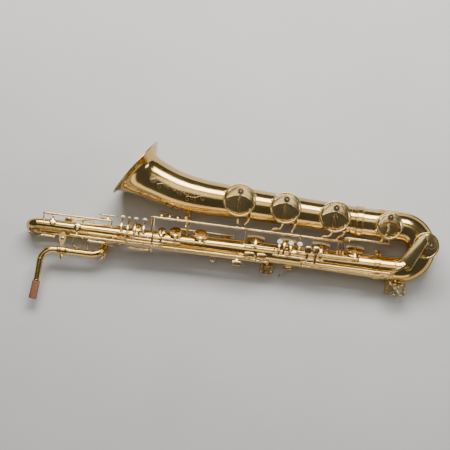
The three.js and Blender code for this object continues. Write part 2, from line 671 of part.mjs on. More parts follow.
function makeCages() {
  const bow = bent(new BowCurve(), (t) => bowRadius(t) + GAP, BEND_SIDES, BOW_STEPS);
  makeCage('guard_low_Eb', vec(LOW_EB.x, LOW_EB.y, 0), vec(0, -1, 0), 27, 33, bow);
  const { x, angle } = HOLES.altFs;
  const body = rod(vec(x - 60, 0, 0), vec(x + 60, 0, 0), bodyRadius(x + 20) + GAP, 28);
  makeCage('guard_alt_Fs', around(x, angle, bodyRadius(x)), around(0, angle, 1), 18, 29, body);
}

// ---------------------------------------------------------------- keys
// A key is drawn closed, then swung open about its hinge line by its rest angle.
function addKey(name, hinge, pieces, open = 0, material = LACQUER) {
  const { y, z } = hinge;
  const swing = join(pieces).translate([0, -y, -z]).rotate([open, 0, 0]).translate([0, y, z]);
  addNode(name, swing, material);
}

function hingeTube({ y, z }, from, to) {
  return rod(vec(from, y, z), vec(to, y, z), ROD_R);
}

// The tube that fills the space between two neighbouring posts of a line.
function tubeBetween(hinge, first = 0) {
  return hingeTube(hinge, hinge.posts[first] + POST_HALF + 0.4, hinge.posts[first + 1] - POST_HALF - 0.4);
}

const CUP_PROFILE = (r) => [[0, 0], [r, 0], [r, 3.4], [r * 0.5, CUP_HEIGHT], [0, CUP_HEIGHT]];

function bodyCup({ x, angle, cup }) {
  const seat = around(x, angle, bodyRadius(x) + CHIMNEY_HEIGHT + GAP);
  return turned(CUP_PROFILE(cup), seat, around(0, angle, 1), cup > 14 ? 12 : 8);
}

// An arm in the plane across the body, from the hinge over to a point above the body.
function archArm(x, hinge, angle, endRadius, arch, width = 5) {
  const start = THREE.MathUtils.radToDeg(Math.atan2(hinge.z, hinge.y));
  let swing = angle - start;
  if (swing > 180) swing -= 360;
  const inner = Math.max(endRadius, arch * 0.97);
  return bar([
    vec(x, hinge.y, hinge.z),
    around(x, start + swing * 0.13, arch),
    around(x, start + swing * 0.55, inner),
    around(x, start + swing, endRadius),
  ], width, 3);
}

function cupArm(hole, hinge, arch = 0) {
  const top = bodyRadius(hole.x) + CHIMNEY_HEIGHT + GAP + CUP_HEIGHT;
  return archArm(hole.x, hinge, hole.angle, top - 0.5, Math.max(arch, top + 2), 6);
}

function pearl(x, angle, radius, hinge, arch, size = PEARL_R) {
  const dish = turned(
    [[0, 0], [size, 1], [size, 3.8], [0, 3.4]], around(x, angle, radius - 3.5), around(0, angle, 1), 8);
  return [dish, archArm(x, hinge, angle, radius - 3, arch)];
}

const FRONT_PEARL = { angle: 14, radius: 46 };
const RIGHT_PEARL = { angle: 50, radius: 55 };
const OVER = 45.5;

function makeUpperStack() {
  const { stackTop, stackTopMiddle, bis } = LINES;
  const { angle, radius } = FRONT_PEARL;
  addKey('key_B', stackTop, [
    tubeBetween(stackTop), bodyCup(HOLES.B), cupArm(HOLES.B, stackTop),
    pearl(-301, angle, radius, stackTop, 42),
  ].flat(), 7);
  addKey('key_G', stackTop, [
    tubeBetween(stackTop, 1), bodyCup(HOLES.G), cupArm(HOLES.G, stackTop),
    pearl(-240, angle, radius, stackTop, 42),
  ].flat(), 7);
  addKey('key_A', stackTopMiddle, [
    tubeBetween(stackTopMiddle), bodyCup(HOLES.A), cupArm(HOLES.A, stackTopMiddle, OVER),
    pearl(-264, angle, radius, stackTopMiddle, OVER),
  ].flat(), 6.5);
  addKey('key_bis', bis, [
    tubeBetween(bis), bodyCup(HOLES.bis), cupArm(HOLES.bis, bis, OVER),
    pearl(-283, angle, radius, bis, OVER, 5),
  ].flat(), 6);
}

function makeLowerStack() {
  const { stackLow, stackLowOuter } = LINES;
  const { angle, radius } = RIGHT_PEARL;
  addKey('key_F_sharp', stackLow,
    [tubeBetween(stackLow), bodyCup(HOLES.Fs), cupArm(HOLES.Fs, stackLow, 48)], 6);
  addKey('key_D', stackLow, [
    tubeBetween(stackLow, 2), bodyCup(HOLES.D), cupArm(HOLES.D, stackLow, 48),
    pearl(187, angle, radius, stackLow, 50),
  ].flat(), 6);
  addKey('key_F', stackLowOuter, [
    tubeBetween(stackLowOuter), bodyCup(HOLES.F), pearl(132, angle, radius, stackLowOuter, 51),
    bar([vec(145, -3, 47), vec(145, 20, 50), vec(147, 38, 37), around(152, 20, 38)], 5, 3),
  ].flat(), 5.5);
  addKey('key_E', stackLowOuter, [
    tubeBetween(stackLowOuter, 1), bodyCup(HOLES.E), cupArm(HOLES.E, stackLowOuter, 54),
    pearl(163, angle, radius, stackLowOuter, 51),
  ].flat(), 5.5);
}

// A touch-piece: a thin plate, given by its centre and its size along X, Y and Z.
const touch = (x, y, z, size) => block(vec(x, y, z), size);

function makeSideKeys() {
  const sides = [
    { name: 'key_side_E', hinge: LINES.sideE, hole: HOLES.sideE, touchX: 22, touchY: -38 },
    { name: 'key_side_C', hinge: LINES.sideC, hole: HOLES.sideC, touchX: 54, touchY: -10 },
    { name: 'key_side_Bb', hinge: LINES.sideBb, hole: HOLES.sideBb, touchX: 87, touchY: -10 },
  ];
  for (const { name, hinge, hole, touchX, touchY } of sides) {
    const high = 41;
    addKey(name, hinge, [
      tubeBetween(hinge), bodyCup(hole), cupArm(hole, hinge),
      bar([vec(touchX, hinge.y, hinge.z), vec(touchX, (hinge.y + touchY) / 2, high - 3),
        vec(touchX, touchY, high)],
        6, 3),
      touch(touchX, touchY, high, [28, 13, 3]),
    ]);
  }
}

function makeFrontF() {
  const hinge = LINES.frontF;
  addKey('key_front_F', hinge, [
    tubeBetween(hinge), bodyCup(HOLES.frontF),
    cupArm(HOLES.frontF, hinge),
    bar([vec(-342, hinge.y, hinge.z), vec(-342, 38, 5), vec(-342, 44, 0)], 6, 3),
    touch(-342, 45, -3, [50, 3, 14]),
  ]);
}

// The leather pad under a large cup, held in the cup and moving with it.
function addPad(name, key, hinge, seat) {
  const disc = rod(flank(key, seat), flank(key, seat + PAD_HEIGHT - GAP), key.cup - 1.5, 12);
  addKey(name, hinge, [disc], key.open, PAD_LEATHER);
}

function makeRailKeys() {
  for (const name of ['A', 'Bb', 'B', 'Cs']) {
    const key = LOW_KEYS[name];
    const hinge = LINES[key.hinge];
    const seat = key.surface + CHIMNEY_HEIGHT + 2 + GAP;
    const cup = turned(CUP_PROFILE(key.cup), flank(key, seat + PAD_HEIGHT), Z_AXIS, 16);
    const top = seat + PAD_HEIGHT + CUP_HEIGHT;
    const arms = key.arms.map((x) => bar([
      vec(x, hinge.y, hinge.z),
      vec(x, hinge.y + 12, (hinge.z + top) / 2 + 4),
      vec((x + key.x) / 2, key.y - key.cup * 0.8, top + 2),
      vec(key.x, key.y, top - 0.5),
    ], 6, 3.2, 5));
    const parts = [tubeBetween(hinge), cup, arms, railExtras[name](hinge)].flat();
    addKey(`key_low_${name}`, hinge, parts, key.open);
    addPad(`pad_low_${name}`, key, hinge, seat);
  }
}

// What each low key carries at its upper end: the arm that its finger or thumb works.
const railExtras = {
  A: ({ y, z }) => [bar([
    vec(-213, y, z), vec(-213, 20, 54.5), vec(-213, -14, 54.5), vec(-213, -29, 46.5), vec(-213, -39, 37),
    vec(-213, -40.5, 29),
  ], 4, 3, 7)],
  Bb: ({ y, z }) => pinky(-196, y, z),
  B: ({ y, z }) => pinky(-174, y, z),
  Cs: ({ y, z }) => [bar([vec(320, y, z), vec(320, y - 7, z - 8), vec(316, 59, 9)], 5, 3)],
};

function pinky(x, y, z) {
  return [
    bar([vec(x, y, z), vec(x, y + 8, z - 2), vec(x, y + 9, z - 14), vec(x, y + 9, -10)], 5, 3, 8),
    touch(x, y + 9, -22, [20, 3, 30]),
  ];
}

function makeLevers() {
  const { railCs, thumbA } = LINES;
  addKey('lever_low_C_sharp', railCs, [
    tubeBetween(railCs), pinky(-152, railCs.y, railCs.z),
    bar([vec(294, railCs.y, railCs.z), vec(297, 61, 9), vec(306, 62, 5), vec(318, 60, 3)], 5, 3),
  ].flat());
  addKey('lever_low_A', thumbA, [
    tubeBetween(thumbA),
    bar([vec(-224, thumbA.y, thumbA.z), vec(-223, -37.5, 9), vec(-215, -38, 13), vec(-211, -38, 13)], 5, 3),
    bar([vec(-248, thumbA.y, thumbA.z), vec(-248, -38, -10)], 6, 3),
    touch(-248, -38.5, -16, [34, 3, 16]),
  ]);
}

function makeLowCAndEb() {
  const c = LOW_KEYS.C;
  const hingeC = LINES.lowC;
  const seat = c.surface + CHIMNEY_HEIGHT + 2 + GAP;
  const top = seat + PAD_HEIGHT + CUP_HEIGHT;
  addPad('pad_low_C', c, hingeC, seat);
  addKey('key_low_C', hingeC, [
    tubeBetween(hingeC),
    turned(CUP_PROFILE(c.cup), flank(c, seat + PAD_HEIGHT), Z_AXIS, 16),
    bar([vec(440, -13, 43), vec(450, -4, 51), vec(476, 14, 52), vec(500, 46, top + 1.5),
      vec(c.x, c.y, top - 0.5)],
      7, 3.2, 6),
    bar([vec(209, -13, 43), vec(209, -2, 54.5), vec(209, 18, 57)], 6, 3),
    touch(210, 24, 58, [18, 20, 3]),
  ], c.open);
  const hingeEb = LINES.lowEb;
  const cupBase = vec(LOW_EB.x, LOW_EB.y - 4 - GAP, 0);
  addKey('key_low_Eb', hingeEb, [
    tubeBetween(hingeEb),
    turned(CUP_PROFILE(LOW_EB.cup), cupBase, vec(0, -1, 0), 12),
    bar([vec(440, -23, 36), vec(444, -36, 33), vec(452, -45, 20), vec(LOW_EB.x, LOW_EB.y - 9.5, 0)],
      6, 3, 10),
    bar([vec(232, -23, 36), vec(232, -18, 49), vec(232, -2, 56), vec(232, 18, 57.5)], 6, 3),
    touch(232, 24, 58, [18, 20, 3]),
  ]);
}

function makeSmallKeys() {
  const { altFs, Gs, octave, vent } = LINES;
  addKey('key_alt_F_sharp', altFs, [
    tubeBetween(altFs), bodyCup(HOLES.altFs), cupArm(HOLES.altFs, altFs),
    bar([vec(143, altFs.y, altFs.z), vec(143, -8, -40), vec(143, 6, -42.5)], 5, 3),
    touch(143, 9, -43, [12, 14, 3]),
  ]);
  addKey('key_G_sharp', Gs, [
    tubeBetween(Gs), bodyCup(HOLES.Gs), cupArm(HOLES.Gs, Gs),
    bar([vec(-128, Gs.y, Gs.z), vec(-128, 44, -20), vec(-128, 58, -22)], 5, 3),
    touch(-128, 62, -22, [18, 20, 3]),
  ]);
  addKey('octave_lever', octave, [
    tubeBetween(octave),
    bar([vec(-346, octave.y, octave.z), vec(-340, -35, -4), vec(-322, -36, -10)], 6, 3),
    touch(-322, -36, -12, [22, 3, 16]),
    bar([vec(-383, octave.y, octave.z), vec(-383, -26, -8), vec(-383, -22, -17)], 4, 3),
  ]);
  addKey('octave_vent_body', vent, [tubeBetween(vent), bodyCup(HOLES.vent), cupArm(HOLES.vent, vent)]);
}

function makeTopVent() {
  const cup = turned([[0, 0], [5, 0], [5, 3], [2, 4.5], [0, 4.5]], ventSeat(TOP_BOW_R + 5 + GAP), ventOut);
  addKey('octave_vent_top', LINES.octave, [
    hingeTube(LINES.octave, -518, -480), cup,
    bar([vec(-514, -31, 6), vec(-531, -35, 0), vec(-547, -34, -9), ventSeat(TOP_BOW_R + 8)], 4, 2.6),
    bar([vec(-484, -31, 6), vec(-482, -28, -6), vec(-478, -26, -14)], 4, 2.6),
  ]);
}

// A palm key rocks on a short pin across its lever: its cup is up the body, its touch-piece down it.
function palmKey(name, hole, pinX, touchX, spread) {
  const out = around(0, hole.angle, 1);
  const side = out.clone().cross(X_AXIS).normalize();
  const level = bodyRadius(hole.x) + CHIMNEY_HEIGHT + GAP + CUP_HEIGHT;
  const pinR = level + 3;
  const [a, b] = [-9, 9].map((reach) => around(pinX, hole.angle, pinR).addScaledVector(side, reach));
  const path = [
    around(hole.x, hole.angle, level - 0.5),
    around((hole.x + pinX) / 2, hole.angle, level + 1.5),
    around(pinX, hole.angle, pinR),
    around((pinX + touchX) / 2, hole.angle, level + 6).addScaledVector(side, spread * 0.5),
    around(touchX, hole.angle, level + 9).addScaledVector(side, spread),
  ];
  const pad = turned([[0, -1.6], [7, -1.6], [8.5, 0], [7, 1.6], [0, 1.6]], path.at(-1), out, 10);
  addNode(name, join(rod(a, b, ROD_R), wire(path, 2.4, 4, 6), pad, bodyCup(hole)));
}

function makePalmKeys() {
  palmKey('key_palm_D', HOLES.palmD, -292, -238, 0);
  palmKey('key_palm_Eb', HOLES.palmEb, -340, -262, -8);
  palmKey('key_palm_F', HOLES.palmF, -410, -352, -6);
}

const WATER = { hinge: vec(-338, -66, 1) };

function makeWaterKey() {
  const middle = vec(PIGTAIL.turnX, (PIGTAIL.y + RECEIVER.y) / 2, (PIGTAIL.z + RECEIVER.z) / 2);
  const apex = middle.clone().add(vec(34 + PIGTAIL_R + 0.6, 0, 0));
  const cup = turned([[0, 0], [5, 0], [5, 2.5], [0, 3]], apex, X_AXIS, 14);
  const pinAxis = vec(0, 1, 1).normalize();
  const [a, b] = [-6, 6].map((reach) => WATER.hinge.clone().addScaledVector(pinAxis, reach));
  const lever = wire([apex.clone().add(vec(2, 0, 0)), vec(-332, -55, -11), WATER.hinge, vec(-348, -78, 12)],
    1.7, 5, 8);
  addNode('water_key', join(cup, rod(a, b, 2.4, 8), lever));
}

// ---------------------------------------------------------------- build
makeBodyTube();
makeBow();
makeBell();
makeRings();
makeTopBow();
makePigtail();
makePigtailBrace();
makeReceiver();
makeReceiverBrace();
makeNeck();
makeCork();
makeNeckScrew();
makeBellBrace();
makeStrapRing();
makeThumbHook();
makeThumbRest();
makeLowGuards();
makeCages();
makeUpperStack();
makeLowerStack();
makeSideKeys();
makeFrontF();
makeRailKeys();
makeLevers();
makeLowCAndEb();
makeSmallKeys();
makeTopVent();
makePalmKeys();
makeWaterKey();

instrument.rotation.set(radians(REST_ROLL), radians(REST_PITCH), 0, 'YXZ');
instrument.position.set(...REST_SHIFT);

const saxophone = new THREE.Group();
saxophone.add(instrument);
export default saxophone;
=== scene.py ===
"""Looks for the baritone saxophone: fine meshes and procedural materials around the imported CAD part.

Shapes are laid out in the instrument's own frame, in millimetres: X runs down the body towards the
bow, Y goes from the body to the bell, and Z comes out of the instrument's right side. to_row() turns
that frame into the row frame, in metres, with the instrument lying at rest.
"""
import json
import math

import bmesh
import bpy
import numpy as np
from mathutils import Matrix, Vector

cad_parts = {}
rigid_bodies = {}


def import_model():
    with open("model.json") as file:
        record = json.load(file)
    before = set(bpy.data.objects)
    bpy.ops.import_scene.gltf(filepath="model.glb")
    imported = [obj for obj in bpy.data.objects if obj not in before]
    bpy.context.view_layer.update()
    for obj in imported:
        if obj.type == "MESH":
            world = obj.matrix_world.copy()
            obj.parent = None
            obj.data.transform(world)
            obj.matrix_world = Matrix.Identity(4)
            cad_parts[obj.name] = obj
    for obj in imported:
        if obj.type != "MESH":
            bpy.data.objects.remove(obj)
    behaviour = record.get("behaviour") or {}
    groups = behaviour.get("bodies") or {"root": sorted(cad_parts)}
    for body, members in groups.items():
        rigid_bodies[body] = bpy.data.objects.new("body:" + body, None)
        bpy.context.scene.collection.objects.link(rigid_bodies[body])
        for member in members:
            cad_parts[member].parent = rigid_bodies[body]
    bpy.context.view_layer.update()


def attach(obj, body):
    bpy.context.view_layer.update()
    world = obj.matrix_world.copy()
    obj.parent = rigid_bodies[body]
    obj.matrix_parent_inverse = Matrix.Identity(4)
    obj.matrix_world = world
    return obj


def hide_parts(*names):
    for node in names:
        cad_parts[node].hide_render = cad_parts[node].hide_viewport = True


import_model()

# ---------------------------------------------------------------- driving dimensions, millimetres
GAP = 0.35
WALL = 1.1
BODY_TOP_X, BODY_FOOT_X = -528.0, 404.0
BODY_TOP_R, BODY_FOOT_R = 13.0, 33.5
BOW_CENTRE_X, BOW_RADIUS = 460.5, 58.5
BELL_JOINT_X, BELL_JOINT_Y = 341.0, 117.0
BELL_RIM_R = 92.0
PIGTAIL_Y, PIGTAIL_Z, PIGTAIL_TURN_X = -18.0, -48.0, -379.0
RECEIVER_Y, RECEIVER_START_X, RECEIVER_END_X = -66.0, -441.0, -463.0
RECEIVER_X = (RECEIVER_START_X + RECEIVER_END_X) / 2
TOP_BOW_R, PIGTAIL_R, NECK_R = 12.4, 10.4, 9.5
NECK_BEND_R, NECK_TENON, NECK_STRAIGHT = 38.0, 14.0, 12.0
NECK_TIP_X, NECK_TIP_Y = -520.0, -207.0
CORK_LENGTH, CORK_R = 50.0, 11.0
ROD_R, POST_HALF = 3.0, 2.0
CHIMNEY_HEIGHT, LOW_CHIMNEY_HEIGHT, CUP_OVERLAP, LOW_CUP_OVERLAP = 4.5, 6.5, 2.5, 3.0
CUP_HEIGHT, PAD_HEIGHT, PEARL_R, GUARD_ROOM = 5.5, 2.8, 8.0, 14.0

REST_ROLL, REST_PITCH = math.radians(9.981), math.radians(1.4091)
REST_SHIFT = np.array([3.13, -27.163, 51.574])
ROW = np.array(Matrix.Rotation(REST_PITCH, 3, "Y") @ Matrix.Rotation(REST_ROLL, 3, "X"))

X, Y, Z = np.eye(3)

# Tone holes on the body: place along it, angle round it from +Y towards +Z, and cup radius.
HOLES = {
    "D": (339, 20, 27), "E": (246, 20, 26), "F": (154, 20, 26), "Fs": (67, 20, 25),
    "altFs": (107, 205, 13), "Gs": (-15, -60, 18), "G": (-84, 38, 20), "A": (-152, 38, 18),
    "bis": (-190, 40, 12), "B": (-258, 38, 15), "sideBb": (-176, 185, 15), "sideC": (-322, 160, 12),
    "sideE": (-420, 85, 10.5), "frontF": (-490, 62, 9.5), "palmD": (-318, -90, 13),
    "palmEb": (-385, -62, 12), "palmF": (-450, -32, 11), "vent": (-352, 225, 6.5),
}

# Hinge lines parallel to the body: height in Y and Z, and the posts that carry them.
LINES = {
    "railA": (57, 48, [-220, 36]), "railBb": (57, 38, [-220, 187]), "railB": (57, 28, [-220, 292]),
    "railCs": (57, 18, [-220, 300]), "lowCs": (68, 26, [308, 427]),
    "stackLow": (14, 46, [40, 121, 181, 350]), "stackLowOuter": (-3, 47, [119, 155, 253]),
    "lowC": (-13, 43, [198, 449]), "lowEb": (-23, 36, [198, 447]),
    "stackTop": (3, 38, [-309, -249, -72]), "stackTopMiddle": (-6, 38, [-270, -139]),
    "bis": (-14, 35, [-289, -184]),
    "sideE": (-20.5, 31.5, [-436, 43]), "sideC": (-23.5, 24.5, [-338, 74]),
    "sideBb": (-26, 17, [-194, 107]), "thumbA": (-35.5, 2, [-276, -219]),
    "altFs": (-20, -34, [86, 150]), "Gs": (33, -14, [-150, 4]), "frontF": (31, 8, [-517, -330]),
    "octave": (-31, 6, [-387, -339]), "vent": (-6, -31, [-374, -338]),
}

# Low keys on the instrument's flank: centre, cup radius, tube surface, hinge line and rest angle.
LOW_KEYS = {
    "A": dict(x=9, y=132, cup=38, surface=45.2, hinge="railA", open=6.5),
    "Bb": dict(x=135, y=127, cup=36, surface=42.2, hinge="railBb", open=6.5),
    "B": dict(x=271, y=121, cup=36, surface=40.4, hinge="railB", open=6.5),
    "Cs": dict(x=419, y=115, cup=30, surface=39.6, hinge="lowCs", open=0),
    "C": dict(x=524, y=75, cup=29, surface=38.6, hinge="lowC", open=6),
}
LOW_EB = (463.0, -36.0, 23.0)

PALM_PIN_RISE = 3
# Palm keys: name, tone hole, place of the pin, place of the touch, and how far the touch leans aside.
PALM_KEYS = (
    ("key_palm_D", "palmD", -292, -238, 0), ("key_palm_Eb", "palmEb", -340, -262, -8),
    ("key_palm_F", "palmF", -410, -352, -6),
)


# ---------------------------------------------------------------- camera, first of all
def to_row(points):
    return (np.asarray(points, float) @ ROW.T + REST_SHIFT) * 0.001


VIEW_CENTRE, VIEW_DISTANCE = (-21.6, 60.5, 20.0), 4000.0
VIEW_TILT = math.radians(7.4)
SENSOR, LENS = 36.0, 117.2


def make_camera():
    data = bpy.data.cameras.new("camera")
    data.sensor_width = SENSOR
    data.lens = LENS
    camera = bpy.data.objects.new("camera", data)
    bpy.context.scene.collection.objects.link(camera)
    right = ROW @ (math.cos(VIEW_TILT), math.sin(VIEW_TILT), 0)
    up = ROW @ (-math.sin(VIEW_TILT), math.cos(VIEW_TILT), 0)
    back = ROW @ Z
    turn = Matrix(np.stack([right, up, back], axis=1).tolist()).to_4x4()
    place = to_row(np.array(VIEW_CENTRE) + VIEW_DISTANCE * Z)
    camera.matrix_world = Matrix.Translation(place) @ turn
    bpy.context.scene.camera = camera


make_camera()


# ---------------------------------------------------------------- vectors, curves and frames
def vec(*xyz):
    return np.array(xyz, float)


def unit(v):
    return np.asarray(v, float) / np.linalg.norm(v)


def around(x, angle, radius):
    """A point round the body's axis, at an angle from +Y towards +Z."""
    a = math.radians(angle)
    return vec(x, radius * math.cos(a), radius * math.sin(a))


def bearing(angle):
    """A unit vector across the flank, at an angle from +X towards +Y."""
    a = math.radians(angle)
    return vec(math.cos(a), math.sin(a), 0)


def square_to(axis):
    """Two directions square to an axis."""
    u = unit(np.cross(axis, X if abs(axis[0]) < 0.7 else Z))
    return u, np.cross(axis, u)


def spread(flat, u, v):
    """Flat points as vectors along u and v."""
    return np.outer(flat[:, 0], u) + np.outer(flat[:, 1], v)


def resample(points, count):
    """The same path in evenly spaced points."""
    points = np.asarray(points, float)
    steps = np.linalg.norm(np.diff(points, axis=0), axis=1)
    along = np.concatenate([[0], np.cumsum(steps)])
    places = np.linspace(0, along[-1], count)
    return np.stack([np.interp(places, along, points[:, k]) for k in range(3)], axis=1)


def curve(points, count=24):
    """A centripetal Catmull-Rom curve through the points, in evenly spaced points."""
    p = [np.asarray(q, float) for q in points]
    p = [2 * p[0] - p[1]] + p + [2 * p[-1] - p[-2]]
    out = []
    for i in range(1, len(p) - 2):
        knots = [0.0]
        for a, b in zip(p[i - 1:i + 2], p[i:i + 3]):
            knots.append(knots[-1] + max(np.linalg.norm(b - a), 1e-6) ** 0.5)
        t0, t1, t2, t3 = knots
        for t in np.linspace(t1, t2, 13)[: 13 if i == len(p) - 3 else 12]:
            a1 = ((t1 - t) * p[i - 1] + (t - t0) * p[i]) / (t1 - t0)
            a2 = ((t2 - t) * p[i] + (t - t1) * p[i + 1]) / (t2 - t1)
            a3 = ((t3 - t) * p[i + 1] + (t - t2) * p[i + 2]) / (t3 - t2)
            b1 = ((t2 - t) * a1 + (t - t0) * a2) / (t2 - t0)
            b2 = ((t3 - t) * a2 + (t - t1) * a3) / (t3 - t1)
            out.append(((t2 - t) * b1 + (t - t1) * b2) / (t2 - t1))
    return resample(out, count)


def frames(path, across=None):
    """Two directions square to the path at each point; across, if given, sets the first."""
    path = np.asarray(path, float)
    tangents = np.gradient(path, axis=0)
    tangents /= np.linalg.norm(tangents, axis=1)[:, None]
    sides = []
    side = across if across is not None else unit(np.cross(tangents[0], unit(vec(0.3, 0.5, 0.81))))
    for tangent in tangents:
        base = across if across is not None else side
        side = unit(base - np.dot(base, tangent) * tangent)
        sides.append(side)
    sides = np.array(sides)
    return sides, np.cross(tangents, sides)


def eased(places, stations):
    """Smooth interpolation through [place, value] stations."""
    s = np.array([a for a, _ in stations], float)
    v = np.array([b for _, b in stations], float)
    slope = np.gradient(v, s)
    i = np.clip(np.searchsorted(s, places) - 1, 0, len(s) - 2)
    h = s[i + 1] - s[i]
    t = (np.asarray(places) - s[i]) / h
    return ((1 + 2 * t) * (1 - t) ** 2 * v[i] + t * (1 - t) ** 2 * h * slope[i]
            + t * t * (3 - 2 * t) * v[i + 1] + t * t * (t - 1) * h * slope[i + 1])


# ---------------------------------------------------------------- shapes
class Shape:
    """Points and faces of one piece, gathered in the instrument's frame."""

    def __init__(self):
        self.points = []
        self.faces = []

    def add(self, points, faces):
        base = len(self.points)
        self.points.extend(np.asarray(points, float))
        self.faces.extend(tuple(base + i for i in face) for face in faces)

    def swing(self, hinge, degrees):
        """Turns the shape about a hinge line."""
        if degrees:
            y, z = hinge[:2]
            c, s = math.cos(math.radians(degrees)), math.sin(math.radians(degrees))
            turn = np.array([[1, 0, 0], [0, c, -s], [0, s, c]])
            pivot = vec(0, y, z)
            self.points = list((np.array(self.points) - pivot) @ turn.T + pivot)


def loft(shape, rings, start=None, end=None, loop=False):
    """Skins a row of rings. An end is open, closed "flat", or closed on a given point."""
    count, sides = len(rings), len(rings[0])
    points = [p for ring in rings for p in ring]
    faces = []
    for i in range(count if loop else count - 1):
        a, b = i * sides, ((i + 1) % count) * sides
        for j in range(sides):
            k = (j + 1) % sides
            faces.append((a + j, a + k, b + k, b + j))
    for cap, base in ((start, 0), (end, (count - 1) * sides)):
        if isinstance(cap, str):
            faces.append(tuple(range(base, base + sides)))
        elif cap is not None:
            points.append(cap)
            faces.extend((base + j, base + (j + 1) % sides, len(points) - 1) for j in range(sides))
    shape.add(points, faces)


def circle(radius, sides):
    a = np.linspace(0, 2 * math.pi, sides, endpoint=False)
    return np.stack([radius * np.cos(a), radius * np.sin(a)], axis=1)


def rounded(width, thickness, power=3.4, sides=16):
    """A rectangle with soft corners, as a superellipse."""
    a = np.linspace(0, 2 * math.pi, sides, endpoint=False) + math.pi / sides
    c, s = np.cos(a), np.sin(a)
    x = np.sign(c) * np.abs(c) ** (2 / power) * width / 2
    y = np.sign(s) * np.abs(s) ** (2 / power) * thickness / 2
    return np.stack([x, y], axis=1)


def sweep(shape, path, section, across=None, scale=None, loop=False):
    path = np.asarray(path, float)
    side, up = frames(path, across)
    if loop:
        tangents = np.roll(path, -1, 0) - np.roll(path, 1, 0)
        tangents /= np.linalg.norm(tangents, axis=1)[:, None]
        up = np.cross(tangents, np.broadcast_to(across, path.shape))
        side = np.broadcast_to(across, path.shape)
    scale = np.ones(len(path)) if scale is None else np.asarray(scale, float)
    if scale.ndim == 1:
        scale = np.stack([scale, scale], axis=1)
    rings = [p + spread(section * k, s, u) for p, s, u, k in zip(path, side, up, scale)]
    cap = None if loop else "flat"
    loft(shape, rings, cap, cap, loop)


def tube(shape, path, radius, sides=14):
    sweep(shape, path, circle(1, sides), scale=np.broadcast_to(radius, len(path)))


def pipe(shape, path, radii, sides, across=None):
    """A tube with a bore: its outer skin, then its inner skin back again."""
    side, up = frames(path, across)
    ring = circle(1, sides)
    outer, inner = [], []
    for p, s, u, r in zip(path, side, up, np.broadcast_to(radii, len(path))):
        spokes = spread(ring, s, u)
        outer.append(p + spokes * r)
        inner.append(p + spokes * (r - WALL))
    loft(shape, outer + inner[::-1], loop=True)


def lathe(shape, profile, base, direction, sides=28, ring=False):
    """A solid turned from [radius, height] pairs, or a ring if its profile is a closed loop."""
    direction = unit(direction)
    spokes = spread(circle(1, sides), *square_to(direction))
    base = np.asarray(base, float)
    rings = [base + h * direction + r * spokes for r, h in profile if ring or r > 0]
    caps = [None, None] if ring else [
        "flat" if r > 0 else base + h * direction for r, h in (profile[0], profile[-1])]
    loft(shape, rings, *caps, loop=ring)


def rod(shape, a, b, radius, sides=16, chamfer=0.35):
    a, b = np.asarray(a, float), np.asarray(b, float)
    length = np.linalg.norm(b - a)
    profile = [(radius - chamfer, 0), (radius, chamfer), (radius, length - chamfer),
               (radius - chamfer, length)]
    lathe(shape, profile, a, b - a, sides)


def plate(shape, outline, origin, u, v, thickness, edge=0.8, crown=0.0):
    """A plate with soft edges: outline in (u, v) millimetres, centred on its own thickness."""
    outline = np.asarray(outline, float)
    middle = outline.mean(0)
    n = np.cross(u, v)
    size = np.abs(outline - middle).max()
    half = thickness / 2
    levels = [(1 - edge / size, -half), (1, -half + edge * 0.7), (1, half - edge * 0.7),
              (1 - edge / size, half)]
    if crown:
        levels += [(0.75, half + crown * 0.6), (0.4, half + crown * 0.95)]
    rings = []
    for shrink, height in levels:
        flat = middle + (outline - middle) * shrink
        rings.append(origin + spread(flat, u, v) + height * n)
    top = "flat"
    if crown:
        top = origin + middle[0] * u + middle[1] * v + (half + crown) * n
    loft(shape, rings, "flat", top)


def arm(shape, points, width, thickness=3.0, taper=(1.0, 1.0), count=22):
    """A flat key arm with soft edges, wider or narrower towards its end."""
    path = curve(points, count)
    scale = np.linspace(taper[0], taper[1], count)
    scale = np.stack([scale, 0.5 + 0.5 * scale], axis=1)
    scale[0] *= 0.9
    scale[-1] *= 0.86
    sweep(shape, path, rounded(width, thickness), X, scale)


# ---------------------------------------------------------------- the tubes that everything stands on
class Tube:
    """A tapering tube along a path, for its own skin and for what is fitted to its surface."""

    def __init__(self, path, radii, across=Z):
        self.path = np.asarray(path, float)
        self.radii = np.broadcast_to(radii, len(self.path)).astype(float)
        self.side, self.up = frames(self.path, across)

    def at(self, t):
        i = t * (len(self.path) - 1)
        k = int(np.clip(math.floor(i), 0, len(self.path) - 2))
        w = i - k
        rows = (self.path, self.side, self.up, self.radii)
        return [row[k] * (1 - w) + row[k + 1] * w for row in rows]

    def surface(self, t, angle, lift=0.0):
        p, s, u, r = self.at(t)
        a = math.radians(angle)
        return p + (r + lift) * (math.cos(a) * s + math.sin(a) * u)

    def place(self, x):
        """Where along the tube a given x is."""
        order = np.argsort(self.path[:, 0])
        return float(np.interp(x, self.path[order, 0], order / (len(self.path) - 1)))


SADDLE_LIFT = 0.1


def saddle(shape, host, span, middle, half_angle, thickness=1.2, count=22):
    """A plate bent to a tube's surface, round at both ends."""
    steps = np.full(11, float(thickness))
    steps[[0, -1]] *= 0.55
    rings = []
    for w in np.linspace(-1, 1, count):
        reach = half_angle * max(1 - abs(w) ** 5, 0.02) ** 0.4
        angles = np.linspace(middle - reach, middle + reach, 11)
        t = span[0] + (span[1] - span[0]) * (w + 1) / 2
        top = [host.surface(t, a, SADDLE_LIFT + step) for a, step in zip(angles, steps)]
        rings.append(top + [host.surface(t, a, SADDLE_LIFT - 0.5) for a in angles[::-1]])
    loft(shape, rings, "flat", "flat")


def body_radius(x):
    return BODY_TOP_R + (BODY_FOOT_R - BODY_TOP_R) * (x - BODY_TOP_X) / (BODY_FOOT_X - BODY_TOP_X)


